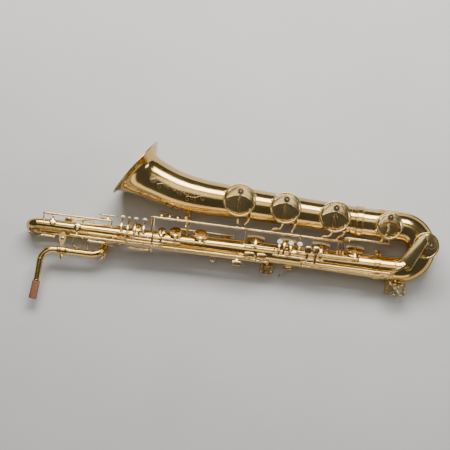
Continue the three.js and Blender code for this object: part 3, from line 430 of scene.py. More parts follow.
def half_turn(start, end, outward, count):
    start, end = np.asarray(start, float), np.asarray(end, float)
    middle, half = (start + end) / 2, (start - end) / 2
    bulge = np.asarray(outward, float) * np.linalg.norm(half)
    a = np.linspace(0, math.pi, count)
    return middle + np.outer(np.cos(a), half) + np.outer(np.sin(a), bulge)


def body_place(x):
    return (x - BODY_TOP_X) / (BODY_FOOT_X - BODY_TOP_X)


body_path = [vec(x, 0, 0) for x in np.linspace(BODY_TOP_X, BODY_FOOT_X, 60)]
BODY = Tube(body_path, [body_radius(p[0]) for p in body_path], across=Y)

bow_path = resample(np.concatenate([
    [vec(BODY_FOOT_X + GAP, 0, 0)],
    half_turn(vec(BOW_CENTRE_X, 0, 0), vec(BOW_CENTRE_X, 2 * BOW_RADIUS, 0), X, 90),
    [vec(BELL_JOINT_X + GAP, BELL_JOINT_Y, 0)],
]), 150)
BOW = Tube(bow_path, eased(np.linspace(0, 1, 150),
                           [(0, 33.5), (0.16, 35), (0.45, 40), (0.7, 40), (1, 39.2)]))

bell_path = curve([
    (BELL_JOINT_X - 1.5, BELL_JOINT_Y, 0), (200, 120.5, 0), (60, 124.5, 0), (-40, 126.5, 0),
    (-100, 129, 0), (-158, 137, 0), (-220, 155, 0), (-262, 171, 0), (-285, 186, 0),
], 240)
BELL = Tube(bell_path, eased(np.linspace(0, 1, 240), [
    (0, 39.2), (0.5, 44.5), (0.65, 48), (0.76, 52), (0.85, 54.5), (0.9, 57.5),
    (0.94, 62), (0.965, 68), (0.985, 78), (1, BELL_RIM_R),
]))

body_top = vec(BODY_TOP_X - GAP, 0, 0)
pigtail_top = vec(BODY_TOP_X, PIGTAIL_Y, PIGTAIL_Z)
pigtail_turn = vec(PIGTAIL_TURN_X, PIGTAIL_Y, PIGTAIL_Z)
receiver_turn = vec(PIGTAIL_TURN_X, RECEIVER_Y, 0)
receiver_start = vec(RECEIVER_START_X, RECEIVER_Y, 0)
VENT_OUT = unit(vec(0, PIGTAIL_Z, -PIGTAIL_Y))


def vent_seat(height):
    return vec(BODY_TOP_X - 25.6, PIGTAIL_Y / 2, PIGTAIL_Z / 2) + height * VENT_OUT


def neck_path(count):
    """Straight out of the receiver, a quarter turn, and a run that leans slightly back."""
    straight = NECK_TENON + NECK_STRAIGHT
    turn = math.pi / 2 * NECK_BEND_R
    start_x = RECEIVER_END_X - GAP + NECK_TENON
    down = RECEIVER_Y - NECK_BEND_R - NECK_TIP_Y
    bend_x = start_x - straight
    points = []
    for s in np.linspace(0, straight + turn + down, count):
        if s < straight:
            points.append(vec(start_x - s, RECEIVER_Y, 0))
        elif s < straight + turn:
            a = (s - straight) / NECK_BEND_R
            points.append(vec(bend_x - NECK_BEND_R * math.sin(a),
                              RECEIVER_Y - NECK_BEND_R * (1 - math.cos(a)), 0))
        else:
            drop = s - straight - turn
            lean = (NECK_TIP_X - (bend_x - NECK_BEND_R)) * (drop / down) ** 1.5
            points.append(vec(bend_x - NECK_BEND_R + lean, RECEIVER_Y - NECK_BEND_R - drop, 0))
    return np.array(points)


# ---------------------------------------------------------------- materials
RELIEF_DEPTH = 0.0004


def noise(nodes, links, coordinate, scale, detail=4.0):
    node = nodes.new("ShaderNodeTexNoise")
    node.inputs["Scale"].default_value = scale
    node.inputs["Detail"].default_value = detail
    node.inputs["Roughness"].default_value = 0.55
    links.new(coordinate, node.inputs["Vector"])
    return node.outputs["Fac"]


def ramp(nodes, links, value, stops):
    node = nodes.new("ShaderNodeValToRGB")
    elements = node.color_ramp.elements
    while len(elements) < len(stops):
        elements.new(0.5)
    for element, (place, color) in zip(elements, stops):
        element.position = place
        element.color = (*color, 1)
    links.new(value, node.inputs["Fac"])
    return node.outputs["Color"]


def span(nodes, links, value, low, high):
    node = nodes.new("ShaderNodeMapRange")
    node.inputs["To Min"].default_value = low
    node.inputs["To Max"].default_value = high
    links.new(value, node.inputs["Value"])
    return node.outputs["Result"]


def material(name, stops, color_scale, rough, rough_scale, bump, bump_scale, **sockets):
    """Colour, roughness and fine relief, each from its own noise, in object space."""
    made = bpy.data.materials.new(name)
    made.use_nodes = True
    nodes, links = made.node_tree.nodes, made.node_tree.links
    shader = nodes["Principled BSDF"]
    coordinate = nodes.new("ShaderNodeTexCoord").outputs["Object"]
    color = ramp(nodes, links, noise(nodes, links, coordinate, color_scale), stops)
    links.new(color, shader.inputs["Base Color"])
    links.new(span(nodes, links, noise(nodes, links, coordinate, rough_scale), *rough),
              shader.inputs["Roughness"])
    relief = nodes.new("ShaderNodeBump")
    relief.inputs["Strength"].default_value = bump
    relief.inputs["Distance"].default_value = RELIEF_DEPTH
    links.new(noise(nodes, links, coordinate, bump_scale, 6.0), relief.inputs["Height"])
    links.new(relief.outputs["Normal"], shader.inputs["Normal"])
    for socket, value in sockets.items():
        shader.inputs[socket.replace("_", " ")].default_value = value
    return made


LACQUER = dict(Metallic=1.0, Coat_Weight=0.35, Coat_Roughness=0.05, Coat_IOR=1.45)
MATERIALS = {
    "body": material("lacquered_brass_body", [(0.3, (0.56, 0.37, 0.12)), (0.7, (0.75, 0.53, 0.20))],
                     9, (0.10, 0.22), 30, 0.03, 420, **LACQUER),
    "keys": material("lacquered_brass_keys", [(0.3, (0.64, 0.44, 0.17)), (0.7, (0.83, 0.62, 0.29))],
                     22, (0.13, 0.28), 70, 0.04, 600, **LACQUER),
    "engraving": material("engraved_brass", [(0.3, (0.52, 0.36, 0.14)), (0.7, (0.66, 0.49, 0.25))],
                          60, (0.35, 0.5), 200, 0.1, 900, Metallic=1.0),
    "cork": material("cork_sleeve", [(0.32, (0.13, 0.045, 0.025)), (0.48, (0.26, 0.105, 0.055)),
                                     (0.7, (0.37, 0.17, 0.09))],
                     380, (0.75, 0.95), 300, 0.9, 520),
    "pads": material("kid_leather", [(0.3, (0.40, 0.23, 0.11)), (0.7, (0.60, 0.38, 0.20))],
                     160, (0.5, 0.7), 240, 0.6, 1500),
    "pearl": material("mother_of_pearl", [(0.25, (0.54, 0.56, 0.54)), (0.5, (0.74, 0.71, 0.66)),
                                          (0.75, (0.66, 0.60, 0.58))],
                      240, (0.10, 0.2), 90, 0.03, 700, Coat_Weight=0.8, Coat_Roughness=0.04),
    "felt": material("dark_felt", [(0.3, (0.012, 0.010, 0.010)), (0.7, (0.05, 0.04, 0.04))],
                     900, (0.85, 1.0), 300, 1.0, 2200, Sheen_Weight=0.4),
    "steel": material("blued_steel", [(0.3, (0.10, 0.12, 0.20)), (0.7, (0.22, 0.25, 0.34))],
                      300, (0.2, 0.35), 300, 0.05, 1200, Metallic=1.0),
}


# ---------------------------------------------------------------- from shapes to pieces
def to_mesh(name, shape):
    mesh = bpy.data.meshes.new(name)
    mesh.from_pydata([tuple(p) for p in to_row(shape.points)], [], shape.faces)
    work = bmesh.new()
    work.from_mesh(mesh)
    bmesh.ops.recalc_face_normals(work, faces=work.faces)
    work.to_mesh(mesh)
    work.free()
    return mesh


def bored(name, shape, bores):
    """The shape with its tone holes cut out, as a mesh."""
    scene = bpy.context.scene.collection.objects
    whole = bpy.data.objects.new(name + "_whole", to_mesh(name + "_whole", shape))
    cutter = bpy.data.objects.new(name + "_bores", to_mesh(name + "_bores", bores))
    scene.link(whole)
    scene.link(cutter)
    step = whole.modifiers.new("bores", "BOOLEAN")
    step.operation = "DIFFERENCE"
    step.solver = "EXACT"
    step.object = cutter
    cut = bpy.data.meshes.new_from_object(whole.evaluated_get(bpy.context.evaluated_depsgraph_get()))
    for used in (whole, cutter):
        bpy.data.objects.remove(used)
    return cut


ROOT = "body"
SHARP_ANGLE = math.radians(38)


def piece(name, shape, body, look, replaces=(), base=None):
    mesh = to_mesh(name, shape)
    if base is not None:
        work = bmesh.new()
        work.from_mesh(base)
        work.from_mesh(mesh)
        work.to_mesh(mesh)
        work.free()
    mesh.polygons.foreach_set("use_smooth", [True] * len(mesh.polygons))
    mesh.set_sharp_from_angle(angle=SHARP_ANGLE)
    mesh.materials.clear()
    mesh.materials.append(MATERIALS[look])
    made = bpy.data.objects.new(name, mesh)
    bpy.context.scene.collection.objects.link(made)
    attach(made, body)
    if replaces:
        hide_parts(*replaces)


def fixed(node, shape, look="body", base=None):
    """The fine piece of a node that is fixed to the tubing."""
    piece(f"{node}_fine", shape, ROOT, look, [node], base)


# ---------------------------------------------------------------- posts, hinges and springs
def screw(shape, centre, axis, radius=1.9, height=1.0):
    """A domed screw head with a driver slot: two half discs on a washer."""
    axis = unit(axis)
    lathe(shape, [(radius, 0), (radius, height * 0.4), (radius * 0.9, height * 0.6)], centre, axis, 18)
    u, v = square_to(axis)
    slot = radius * 0.16
    a = np.linspace(0, math.pi, 10)
    for flip in (1, -1):
        outline = [(radius * 0.86 * math.cos(k), flip * (slot + radius * 0.7 * math.sin(k))) for k in a]
        plate(shape, outline, np.asarray(centre, float) + axis * height * 0.75, u, v, height * 0.4,
              edge=0.12)


def post(shape, x, y, z, foot):
    """A ball-headed post: a flange on the tube, a waisted stem, and a head drilled for the hinge."""
    head = vec(x, y, z)
    out = unit(head - foot)
    length = np.linalg.norm(head - foot)
    stem = [(3.4, -0.8), (3.4, 0.4), (2.4, 1.1), (1.8, 2.6), (1.5, length * 0.6), (1.7, length - 4),
            (2.2, length - 2.4)]
    lathe(shape, stem, foot, out, 18)
    lathe(shape, [(1.7, -2.1), (2.8, -1.8), (3.5, -0.8), (3.6, 0), (3.5, 0.8), (2.8, 1.8), (1.7, 2.1)],
          head, X, 22)


def hinge_tube(shape, line, start, end):
    """A hinge tube with its chamfered ends, and the fine seams between its sleeves."""
    y, z = line[:2]
    length = end - start
    profile = [(ROD_R - 0.4, 0), (ROD_R, 0.4)]
    seams = max(int(length // 34), 1)
    for k in range(1, seams + 1):
        h = length * k / (seams + 1)
        profile += [(ROD_R, h - 0.35), (ROD_R - 0.3, h - 0.15),
                    (ROD_R - 0.3, h + 0.15), (ROD_R, h + 0.35)]
    profile += [(ROD_R, length - 0.4), (ROD_R - 0.4, length)]
    lathe(shape, profile, (start, y, z), X, 18)


def foot_under(line, x):
    y, z = line[:2]
    if x > BODY_FOOT_X:
        return vec(x, 90, 22) if y > 0 else vec(x, -6, 33)
    angle = math.degrees(math.atan2(z, y))
    return around(x, angle, body_radius(x) + 0.2)


def make_springs():
    """Needle springs from the posts to the hinge tubes, a hair's breadth beside them."""
    shape = Shape()
    for y, z, posts in LINES.values():
        inward = -unit(vec(0, y, z))
        for x, way in ((posts[0], 1), (posts[-1], -1)):
            reach = min(30, (posts[-1] - posts[0]) * 0.4)
            a = vec(x + way * 1.5, y, z) + inward * 2.4
            b = vec(x + way * reach, y, z) + inward * 4.2
            tube(shape, curve([a, (a + b) / 2 + inward * 0.4, b], 8), 0.4, 6)
    piece("needle_springs", shape, ROOT, "steel")


def make_hinge_screws():
    shape = Shape()
    for y, z, posts in LINES.values():
        screw(shape, vec(posts[0] - 2.0, y, z), -X)
        screw(shape, vec(posts[-1] + 2.0, y, z), X)
    piece("hinge_screws", shape, ROOT, "keys")


# ---------------------------------------------------------------- body tube, bow and bell
def chimney(shape, centre, out, surface, radius, height, bores, depth):
    """A tone hole: a soldered skirt, a wall with a rolled edge, and the bore through the tube."""
    profile = [
        (radius + 1.6, surface - 0.6), (radius + 0.5, surface + 0.6), (radius, surface + 1.4),
        (radius, height - 0.8), (radius + 0.5, height - 0.5), (radius + 0.45, height - 0.05),
        (radius - 0.2, height + 0.1),
        (radius - 0.9, height - 0.2), (radius - 1.2, height - 1), (radius - 1.2, surface * depth),
        (radius - 0.1, surface * depth), (radius + 0.2, surface * (depth + 0.2)),
    ]
    lathe(shape, profile, centre, out, 56, ring=True)
    lathe(bores, [(radius - 0.6, surface * depth * 0.5), (radius - 0.6, height + 2)], centre, out, 48)


# Ribs that the posts are soldered to: from x, to x, angle round the body, half width in degrees.
RIBS = [
    (-315, -66, 86, 9), (34, 356, 73, 7), (-445, 50, 123, 8), (-345, 82, 134, 6), (-226, 40, 40, 6),
    (-394, -332, 169, 9), (-524, -324, 14, 8), (-157, 10, -23, 7), (80, 156, 239.5, 6),
    (-380, -332, 259, 9),
]


def make_body_tube():
    shell, fittings, bores = Shape(), Shape(), Shape()
    pipe(shell, BODY.path, BODY.radii, 128, across=Y)
    for x, angle, cup in HOLES.values():
        surface = body_radius(x)
        chimney(fittings, vec(x, 0, 0), around(0, angle, 1), surface, cup - CUP_OVERLAP,
                surface + CHIMNEY_HEIGHT, bores, 0.78)
    for line in LINES.values():
        for x in line[2]:
            if x < BODY_FOOT_X:
                post(fittings, x, line[0], line[1], foot_under(line, x))
    for palm in PALM_KEYS:
        hole, pin_x = palm[1:3]
        angle = HOLES[hole][1]
        side = unit(np.cross(around(0, angle, 1), X))
        foot = around(pin_x, angle, body_radius(pin_x))
        pin = around(pin_x, angle, palm_level(hole) + PALM_PIN_RISE)
        for hand in (-1, 1):
            root = foot - unit(foot - X * pin_x) * 1.5 + side * hand * 6.4
            ear = [root, foot + side * hand * 5.6, pin + side * hand * 5.6]
            sweep(fittings, resample(ear, 12), rounded(5.0, 1.8), X, np.linspace(1.3, 1.0, 12))
            rod(fittings, pin + side * hand * 4.7, pin + side * hand * 6.5, 3.1, 24)
    for start, end, angle, wide in RIBS:
        saddle(fittings, BODY, (body_place(start), body_place(end)), angle, wide, count=60)
    for x in (BODY_TOP_X + 6, BODY_TOP_X + 16):
        r = body_radius(x)
        lathe(fittings, [(r - 0.3, -3), (r + 1.3, -2.4), (r + 1.7, 0), (r + 1.3, 2.4), (r - 0.3, 3)],
              (x, 0, 0), X, 64, ring=True)
    fixed("body_tube", fittings, base=bored("body_tube_shell", shell, bores))


def flank_chimney(shape, bores, key):
    centre = vec(key["x"], key["y"], 0)
    chimney(shape, centre, Z, key["surface"] * 0.92, key["cup"] - LOW_CUP_OVERLAP,
            key["surface"] + LOW_CHIMNEY_HEIGHT, bores, 0.72)


BOW_OUTER = 90


def make_bow():
    shell, fittings, bores = Shape(), Shape(), Shape()
    pipe(shell, BOW.path, BOW.radii, 128, across=Z)
    for name in ("Cs", "C"):
        flank_chimney(fittings, bores, LOW_KEYS[name])
    x, y, cup = LOW_EB
    chimney(fittings, vec(x, 0, 0), -Y, 33.2, cup - CUP_OVERLAP, -y + 4, bores, 0.8)
    for name in ("lowC", "lowEb", "lowCs"):
        y, z, posts = LINES[name]
        post(fittings, posts[-1], y, z, foot_under(LINES[name], posts[-1]))
    saddle(fittings, BOW, (0.16, 0.86), BOW_OUTER, 24, thickness=1.0, count=90)
    for edge in (BOW_OUTER - 24, BOW_OUTER + 24):
        ridge = [BOW.surface(t, edge, 0.8) for t in np.linspace(0.17, 0.85, 90)]
        tube(fittings, ridge, 1.0, 10)
    for t in (0.015, 0.985):
        p, s, u, r = BOW.at(t)
        ring = p + spread(circle(r + 0.6, 96), s, u)
        sweep(fittings, ring, circle(0.9, 10), across=unit(np.cross(s, u)), loop=True)
    fixed("bow", fittings, base=bored("bow_shell", shell, bores))


def make_bell():
    shell, fittings, bores = Shape(), Shape(), Shape()
    pipe(shell, BELL.path, BELL.radii, 144, across=Z)
    for name in ("A", "Bb", "B"):
        flank_chimney(fittings, bores, LOW_KEYS[name])
    facing = BELL.path[-1] - BELL.path[-2]
    roll = circle(1.9, 14) + (BELL_RIM_R - 0.4, 0.4)
    lathe(fittings, roll, BELL.path[-1], facing, 144, ring=True)
    for t in (0.02, 0.035):
        p, s, u, r = BELL.at(t)
        profile = [(r - 0.4, -1.4), (r + 0.9, 0), (r - 0.4, 1.4)]
        lathe(fittings, profile, p, np.cross(s, u), 96, ring=True)
    fixed("bell", fittings, base=bored("bell_shell", shell, bores))


# ---------------------------------------------------------------- the scrollwork on the bell
ENGRAVING_T, ENGRAVING_ANGLE = 0.77, 2.0
STEM_SWING, STEM_PITCH = 9, 17


def engraved(shape, points):
    """A fine cut line on the bell, given as millimetres along it and round it."""
    length = np.linalg.norm(np.diff(BELL.path, axis=0), axis=1).sum()
    line = []
    for u, v in points:
        t = ENGRAVING_T + u / length
        radius = BELL.at(min(t, 1))[3]
        line.append(BELL.surface(min(t, 1), ENGRAVING_ANGLE + math.degrees(v / radius), 0.05))
    tube(shape, line, 0.32, 6)


def spiral(u, v, size, start, turns, hand):
    """A scroll that winds in on itself."""
    out = []
    for k in np.linspace(0, 1, 34):
        a = start + hand * turns * 2 * math.pi * k
        r = size * (1 - k) ** 1.3 + 0.3
        out.append((u + r * math.cos(a), v + r * math.sin(a)))
    return out


def make_engraving():
    shape = Shape()
    engraved(shape, [(u, STEM_SWING * math.sin(u / STEM_PITCH)) for u in np.linspace(-70, 70, 90)])
    for k, u in enumerate(range(-60, 61, 20)):
        hand = 1 if k % 2 else -1
        v = STEM_SWING * math.sin(u / STEM_PITCH)
        engraved(shape, spiral(u, v + hand * 9, 8, -hand * math.pi / 2, 1.4, hand))
        engraved(shape, spiral(u + 9, v - hand * 7, 5, hand * math.pi / 2, 1.2, -hand))
        for lean in (-0.6, 0, 0.6):
            leaf = [(u + 8 * w * math.sin(lean) + 1.6 * math.sin(math.pi * w),
                     v - hand * 14 * w) for w in np.linspace(0, 1, 12)]
            engraved(shape, leaf)
    for k in range(10):
        a = 2 * math.pi * k / 10
        petal = []
        for w in np.linspace(0, 1, 20):
            bend = 0.28 * math.sin(2 * math.pi * w)
            r = 11 * math.sin(math.pi * w)
            petal.append((84 + r * math.cos(a + bend), r * math.sin(a + bend)))
        engraved(shape, petal)
    piece("bell_scrollwork", shape, ROOT, "engraving")


# ---------------------------------------------------------------- rings and braces
def clamp_ring(shape, x, y, bore, half):
    profile = [(bore, -half)]
    for bead in (-half + 2.2, half - 2.2):
        for a in np.linspace(math.pi, 0, 9):
            profile.append((bore + 1.8 + 1.9 * math.sin(a), bead + 2.1 * math.cos(a)))
    profile.append((bore, half))
    lathe(shape, profile, (x, y, 0), X, 96, ring=True)


def make_rings():
    shape = Shape()
    clamp_ring(shape, BODY_FOOT_X, 0, BODY_FOOT_R + 0.9, 9)
    for z in (-3.4, 3.4):
        plate(shape, rounded(16, 9, 4, 28), vec(BODY_FOOT_X, 40.5, z), X, Y, 4.8, edge=0.7)
    rod(shape, (BODY_FOOT_X, 41, -8.4), (BODY_FOOT_X, 41, 8.2), 1.8)
    screw(shape, vec(BODY_FOOT_X, 41, 5.8), Z, 3.0, 2.2)
    fixed("body_clamp_ring", shape)
    shape = Shape()
    clamp_ring(shape, BELL_JOINT_X, BELL_JOINT_Y, 40.2, 10)
    fixed("bell_clamp_ring", shape)


def bead(shape, path, k, radius, wide=2.4, high=1.4):
    """A raised band round a thin tube at point k of its path."""
    tangent = unit(path[k + 1] - path[k - 1])
    profile = [(radius - 0.3, -wide), (radius + high * 0.8, -wide * 0.7), (radius + high, 0),
               (radius + high * 0.8, wide * 0.7), (radius - 0.3, wide)]
    lathe(shape, profile, path[k], tangent, 48, ring=True)


def make_top_bow():
    shape = Shape()
    path = half_turn(body_top, pigtail_top * (0, 1, 1) + body_top * (1, 0, 0), -X, 70)
    radii = np.linspace(BODY_TOP_R, TOP_BOW_R, 70)
    pipe(shape, path, radii, 64)
    for k in (3, 66):
        bead(shape, path, k, radii[k])
    lathe(shape, [(4.6, TOP_BOW_R - 1.2), (3.4, TOP_BOW_R + 0.8), (2.6, TOP_BOW_R + 1.8),
                  (2.6, TOP_BOW_R + 4.6), (2.2, TOP_BOW_R + 5), (1.2, TOP_BOW_R + 5),
                  (1.2, TOP_BOW_R - 1.2)], vent_seat(0), VENT_OUT, 24, ring=True)
    fixed("top_bow", shape)


def make_pigtail():
    shape = Shape()
    path = resample(np.concatenate([
        [pigtail_top], half_turn(pigtail_turn, receiver_turn, X, 60), [receiver_start],
    ]), 170)
    radii = np.linspace(TOP_BOW_R - 0.6, PIGTAIL_R - 0.6, 170)
    pipe(shape, path, radii, 56)
    for k in (4, 84, 118):
        bead(shape, path, k, radii[k], 3.2 if k == 4 else 2.0, 1.2)
    fixed("pigtail", shape)
    shape = Shape()
    ring = circle(1, 12) * (1.8, 1.5) + (15.2, 0)
    lathe(shape, ring, (-416, -37.8, 0), Z, 72, ring=True)
    saddle(shape, BODY, (body_place(-424), body_place(-408)), 180, 22)
    rod(shape, (-416, -17, 0), (-416, -22.5, 0), 2.4)
    rod(shape, (-416, -53.5, 0), (-416, -56.5, 0), 2.4)
    lathe(shape, [(3.6, 0), (1.6, 2), (1.4, 14), (2.2, 19), (1.4, 24), (1.6, 36), (3.2, 38)],
          (-388, -17, 0), -Y, 18)
    fixed("pigtail_brace", shape)


def make_receiver():
    shape = Shape()
    x, inner = RECEIVER_X, PIGTAIL_R + 0.4
    profile = [(inner, -11), (13.2, -11), (13.8, -10.2), (13.8, -8), (13.0, -7.2), (12.6, -6.4),
               (12.6, 6.4), (13.0, 7.2), (13.8, 8), (13.8, 10.2), (13.2, 11), (inner, 11)]
    lathe(shape, profile, (x, RECEIVER_Y, 0), X, 64, ring=True)
    for z in (-4.2, 4.2):
        plate(shape, rounded(10, 10, 3.4, 28), vec(x - 3, RECEIVER_Y - 15.5, z), X, Y, 5.2, edge=0.9)
    fixed("neck_receiver", shape)


def quadratic(a, b, c, count=8):
    t = np.linspace(0, 1, count, endpoint=False)[:, None]
    a, b, c = np.array(a), np.array(b), np.array(c)
    return list((1 - t) ** 2 * a + 2 * t * (1 - t) * b + t * t * c)


def make_receiver_brace():
    """The waisted plate between the receiver and the pigtail."""
    shape = Shape()
    half = (quadratic((3.5, -56), (4.5, -48), (6, -44)) + quadratic((6, -44), (13, -33), (8, -21))
            + quadratic((8, -21), (5, -15.5), (0, -15)))
    outline = half + [(0.0, -15.0)] + [(-u, v) for u, v in reversed(half)]
    plate(shape, outline, vec(-458, 0, 10.1), X, Y, 2.2, edge=0.7)
    boss = [(4.6, 0), (4.6, 0.7), (3.6, 1.5), (0, 1.9)]
    lathe(shape, boss, (-458, -33, 10.9), Z, 28)
    rod(shape, (-458, -20, 10), (-458, -12, 8), 2.0)
    rod(shape, (-458, -53, 10), (-458, -56.5, 7), 2.4)
    fixed("receiver_brace", shape, "keys")


# ---------------------------------------------------------------- neck, cork and clamp screw
def make_neck():
    shape = Shape()
    path = neck_path(150)
    radii = np.linspace(NECK_R, NECK_R - 1, 150)
    pipe(shape, path, radii, 56, across=Z)
    start = RECEIVER_END_X - GAP
    lathe(shape, [(NECK_R - 0.4, 0), (12.4, 0), (12.8, -1), (12.8, -4.4), (12.0, -5.6), (10.6, -6.4),
                  (NECK_R - 0.4, -6.8)], (start, RECEIVER_Y, 0), X, 64, ring=True)
    for k, high in ((60, 1.0), (108, 0.9)):
        bead(shape, path, k, radii[k], 1.6, high)
    piece("neck_fine", shape, "neck", "body", ["neck"])
    tip, back = path[-1], unit(path[-3] - path[-1])
    shape = Shape()
    inner = NECK_R + 0.1
    lathe(shape, [(inner, 0.2), (CORK_R - 1.2, 0), (CORK_R - 0.4, 0.9), (CORK_R, 3),
                  (CORK_R, CORK_LENGTH - 4), (CORK_R - 0.5, CORK_LENGTH - 1.2),
                  (CORK_R - 1.1, CORK_LENGTH), (inner, CORK_LENGTH)], tip, back, 64, ring=True)
    piece("neck_cork_fine", shape, "neck", "cork", ["neck_cork"])


def make_neck_screw():
    shape = Shape()
    x, y = RECEIVER_X - 3, RECEIVER_Y - 16
    rod(shape, (x, y, -9), (x, y, 11), 2.0)
    knurls = 28
    lathe(shape, [(2.4, 7.2), (4.6, 7.6), (5.2, 8.4), (5.2, 11), (4.4, 12), (2.6, 12.6), (2.0, 13.5)],
          (x, y, 0), Z, knurls)
    for k in range(knurls // 2):
        a = 4 * math.pi * k / knurls
        c, s = math.cos(a), math.sin(a)
        rod(shape, (x + 5.1 * c, y + 5.1 * s, 8.4), (x + 5.1 * c, y + 5.1 * s, 11), 0.42, 6, 0.1)
    plate(shape, rounded(15, 6.4, 2.4, 32), vec(x, y - 2, 15.4), Y, Z, 2.8, edge=0.9)
    piece("neck_screw_fine", shape, "neck_screw", "keys", ["neck_screw"])


# ---------------------------------------------------------------- fittings fixed to the body
def make_bell_brace():
    shape = Shape()
    x = -122
    r = body_radius(x)
    saddle(shape, BODY, (body_place(x - 9), body_place(x + 9)), 0, 14)
    t = BELL.place(x)
    saddle(shape, BELL, (t - 0.02, t + 0.02), -90, 13)
    column = [(5.4, r - 0.5), (5.4, r + 1.2), (3.6, r + 3), (2.9, r + 10), (3.0, 64), (5.4, 65.2),
              (6.2, 67), (5.4, 68.8), (3.0, 70), (3.4, 76), (6.6, 80), (8.0, 82)]
    lathe(shape, column, (x, 0, 0), Y, 32)
    fixed("bell_brace", shape)


def make_strap_ring():
    shape = Shape()
    lathe(shape, circle(2.0, 14) + (7, 0), (-44, -35.5, 0), Z, 56, ring=True)
    saddle(shape, BODY, (body_place(-54), body_place(-34)), 180, 12, thickness=1.6)
    lathe(shape, [(4.2, 23), (3.4, 25), (2.6, 27), (2.6, 28.6)], (-44, 0, 0), -Y, 24)
    fixed("strap_ring", shape, "keys")


def make_thumb_fittings():
    shape = Shape()
    saddle(shape, BODY, (body_place(149), body_place(183)), 180, 15, thickness=1.8)
    plate(shape, rounded(26, 11, 3.6, 32), vec(166, -33.4, 0), X, Z, 6, edge=0.9)
    hook = curve([(178, -36, 0), (160, -37.5, 0), (151, -41, 0), (147, -50, 0), (142, -61.5, 0)], 40)
    widths = np.stack([np.interp(np.linspace(0, 1, 40), [0, 0.5, 0.85, 1], [0.8, 0.8, 1, 0.7]),
                       np.ones(40)], axis=1)
    sweep(shape, hook, rounded(15, 2.6, 4), Z, widths)
    screw(shape, vec(168, -37.6, 0), -Y, 3.2, 1.8)
    fixed("thumb_hook", shape, "keys")
    shape = Shape()
    seat, out = around(-300, 195, body_radius(-300) + GAP), around(0, 195, 1)
    lathe(shape, [(5.6, -0.4), (5.6, 0.8), (4.2, 1.6), (4.2, 7.4), (8.4, 8.8), (9, 9.6), (9, 11.4),
                  (8.2, 12.4), (5, 12.9), (0, 13)], seat, out, 40)
    fixed("thumb_rest", shape, "keys")


# ---------------------------------------------------------------- guards
def bumper(shape, felt, boss, axis):
    """A threaded felt bumper in its flanged cup."""
    lathe(shape, [(7.6, -2.0), (8.8, -1.4), (9, 0), (9, 2.6), (8.4, 3.2), (6.6, 3.2), (6.4, 1.4),
                  (0, 1.4)], boss, axis, 36)
    lathe(felt, [(6.2, 1.3), (6.2, 2.7), (5.4, 3.1), (0, 3.1)], boss, axis, 32)
    screw(shape, boss + axis * 3.0, axis, 2.4, 0.9)


CRESCENT_SLOPE = 0.17


def guard_height(key):
    return key["surface"] + LOW_CHIMNEY_HEIGHT + CUP_HEIGHT + PAD_HEIGHT + GUARD_ROOM


def leg(shape, toe, top, out):
    """A guard leg that leans out of its foot and turns into the ring."""
    middle = (toe + top) / 2 + out * 1.2
    sweep(shape, curve([toe, middle, top], 14), rounded(4.4, 2.2), np.cross(out, Z),
          np.linspace(1.15, 0.8, 14))
    lathe(shape, [(4.4, -1.0), (4.4, 0.6), (2.6, 1.6)], toe + Z * 0.6, Z, 20)


def crescent(shape, centre, radius, inner, turn=0.0):
    """The coned plate that fills one side of a guard ring, up to an arched inner edge with a bead."""
    c, s = math.cos(math.radians(turn)), math.sin(math.radians(turn))
    spin = np.array([[c, s, 0], [-s, c, 0], [0, 0, 1]])
    rings, edge = [], []
    for w in np.linspace(0, 1, 60):
        rim = radius * bearing(-4 + 188 * w)
        arch = vec(rim[0] * 0.97, inner - (inner + 3) * (rim[0] / radius) ** 2 - 0.6, 0)
        arch = arch + Z * CRESCENT_SLOPE * np.linalg.norm(rim - arch)
        across = np.linspace(0, 1, 7)[:, None]
        swell = np.outer(0.9 * np.sin(math.pi * across[:, 0]), Z)
        strip = centre + (arch * (1 - across) + rim * across + swell) @ spin
        rings.append(np.concatenate([strip + 0.5 * Z, (strip - 0.5 * Z)[::-1]]))
        edge.append(centre + arch @ spin)
    loft(shape, rings, "flat", "flat")
    tube(shape, edge, 0.9, 10)


def flank_guard(shape, felt, key, feet, drop, reach, inner, turn=0.0):
    radius = key["cup"] + 4.5
    z = guard_height(key)
    centre = vec(key["x"], key["y"], z)
    lathe(shape, rounded(4.6, 2.8, 2.6, 14) + (radius, 0), centre, Z, 88, ring=True)
    for angle in feet:
        out = bearing(angle)
        toe = vec(key["x"], key["y"], z - drop) + out * (radius + 1, radius - 3, 0)
        leg(shape, toe, centre + out * radius, out)
    bumper(shape, felt, centre + reach * bearing(90 + turn) + 3.4 * Z, Z)
    crescent(shape, centre, radius - 1.5, inner, turn)
    return z


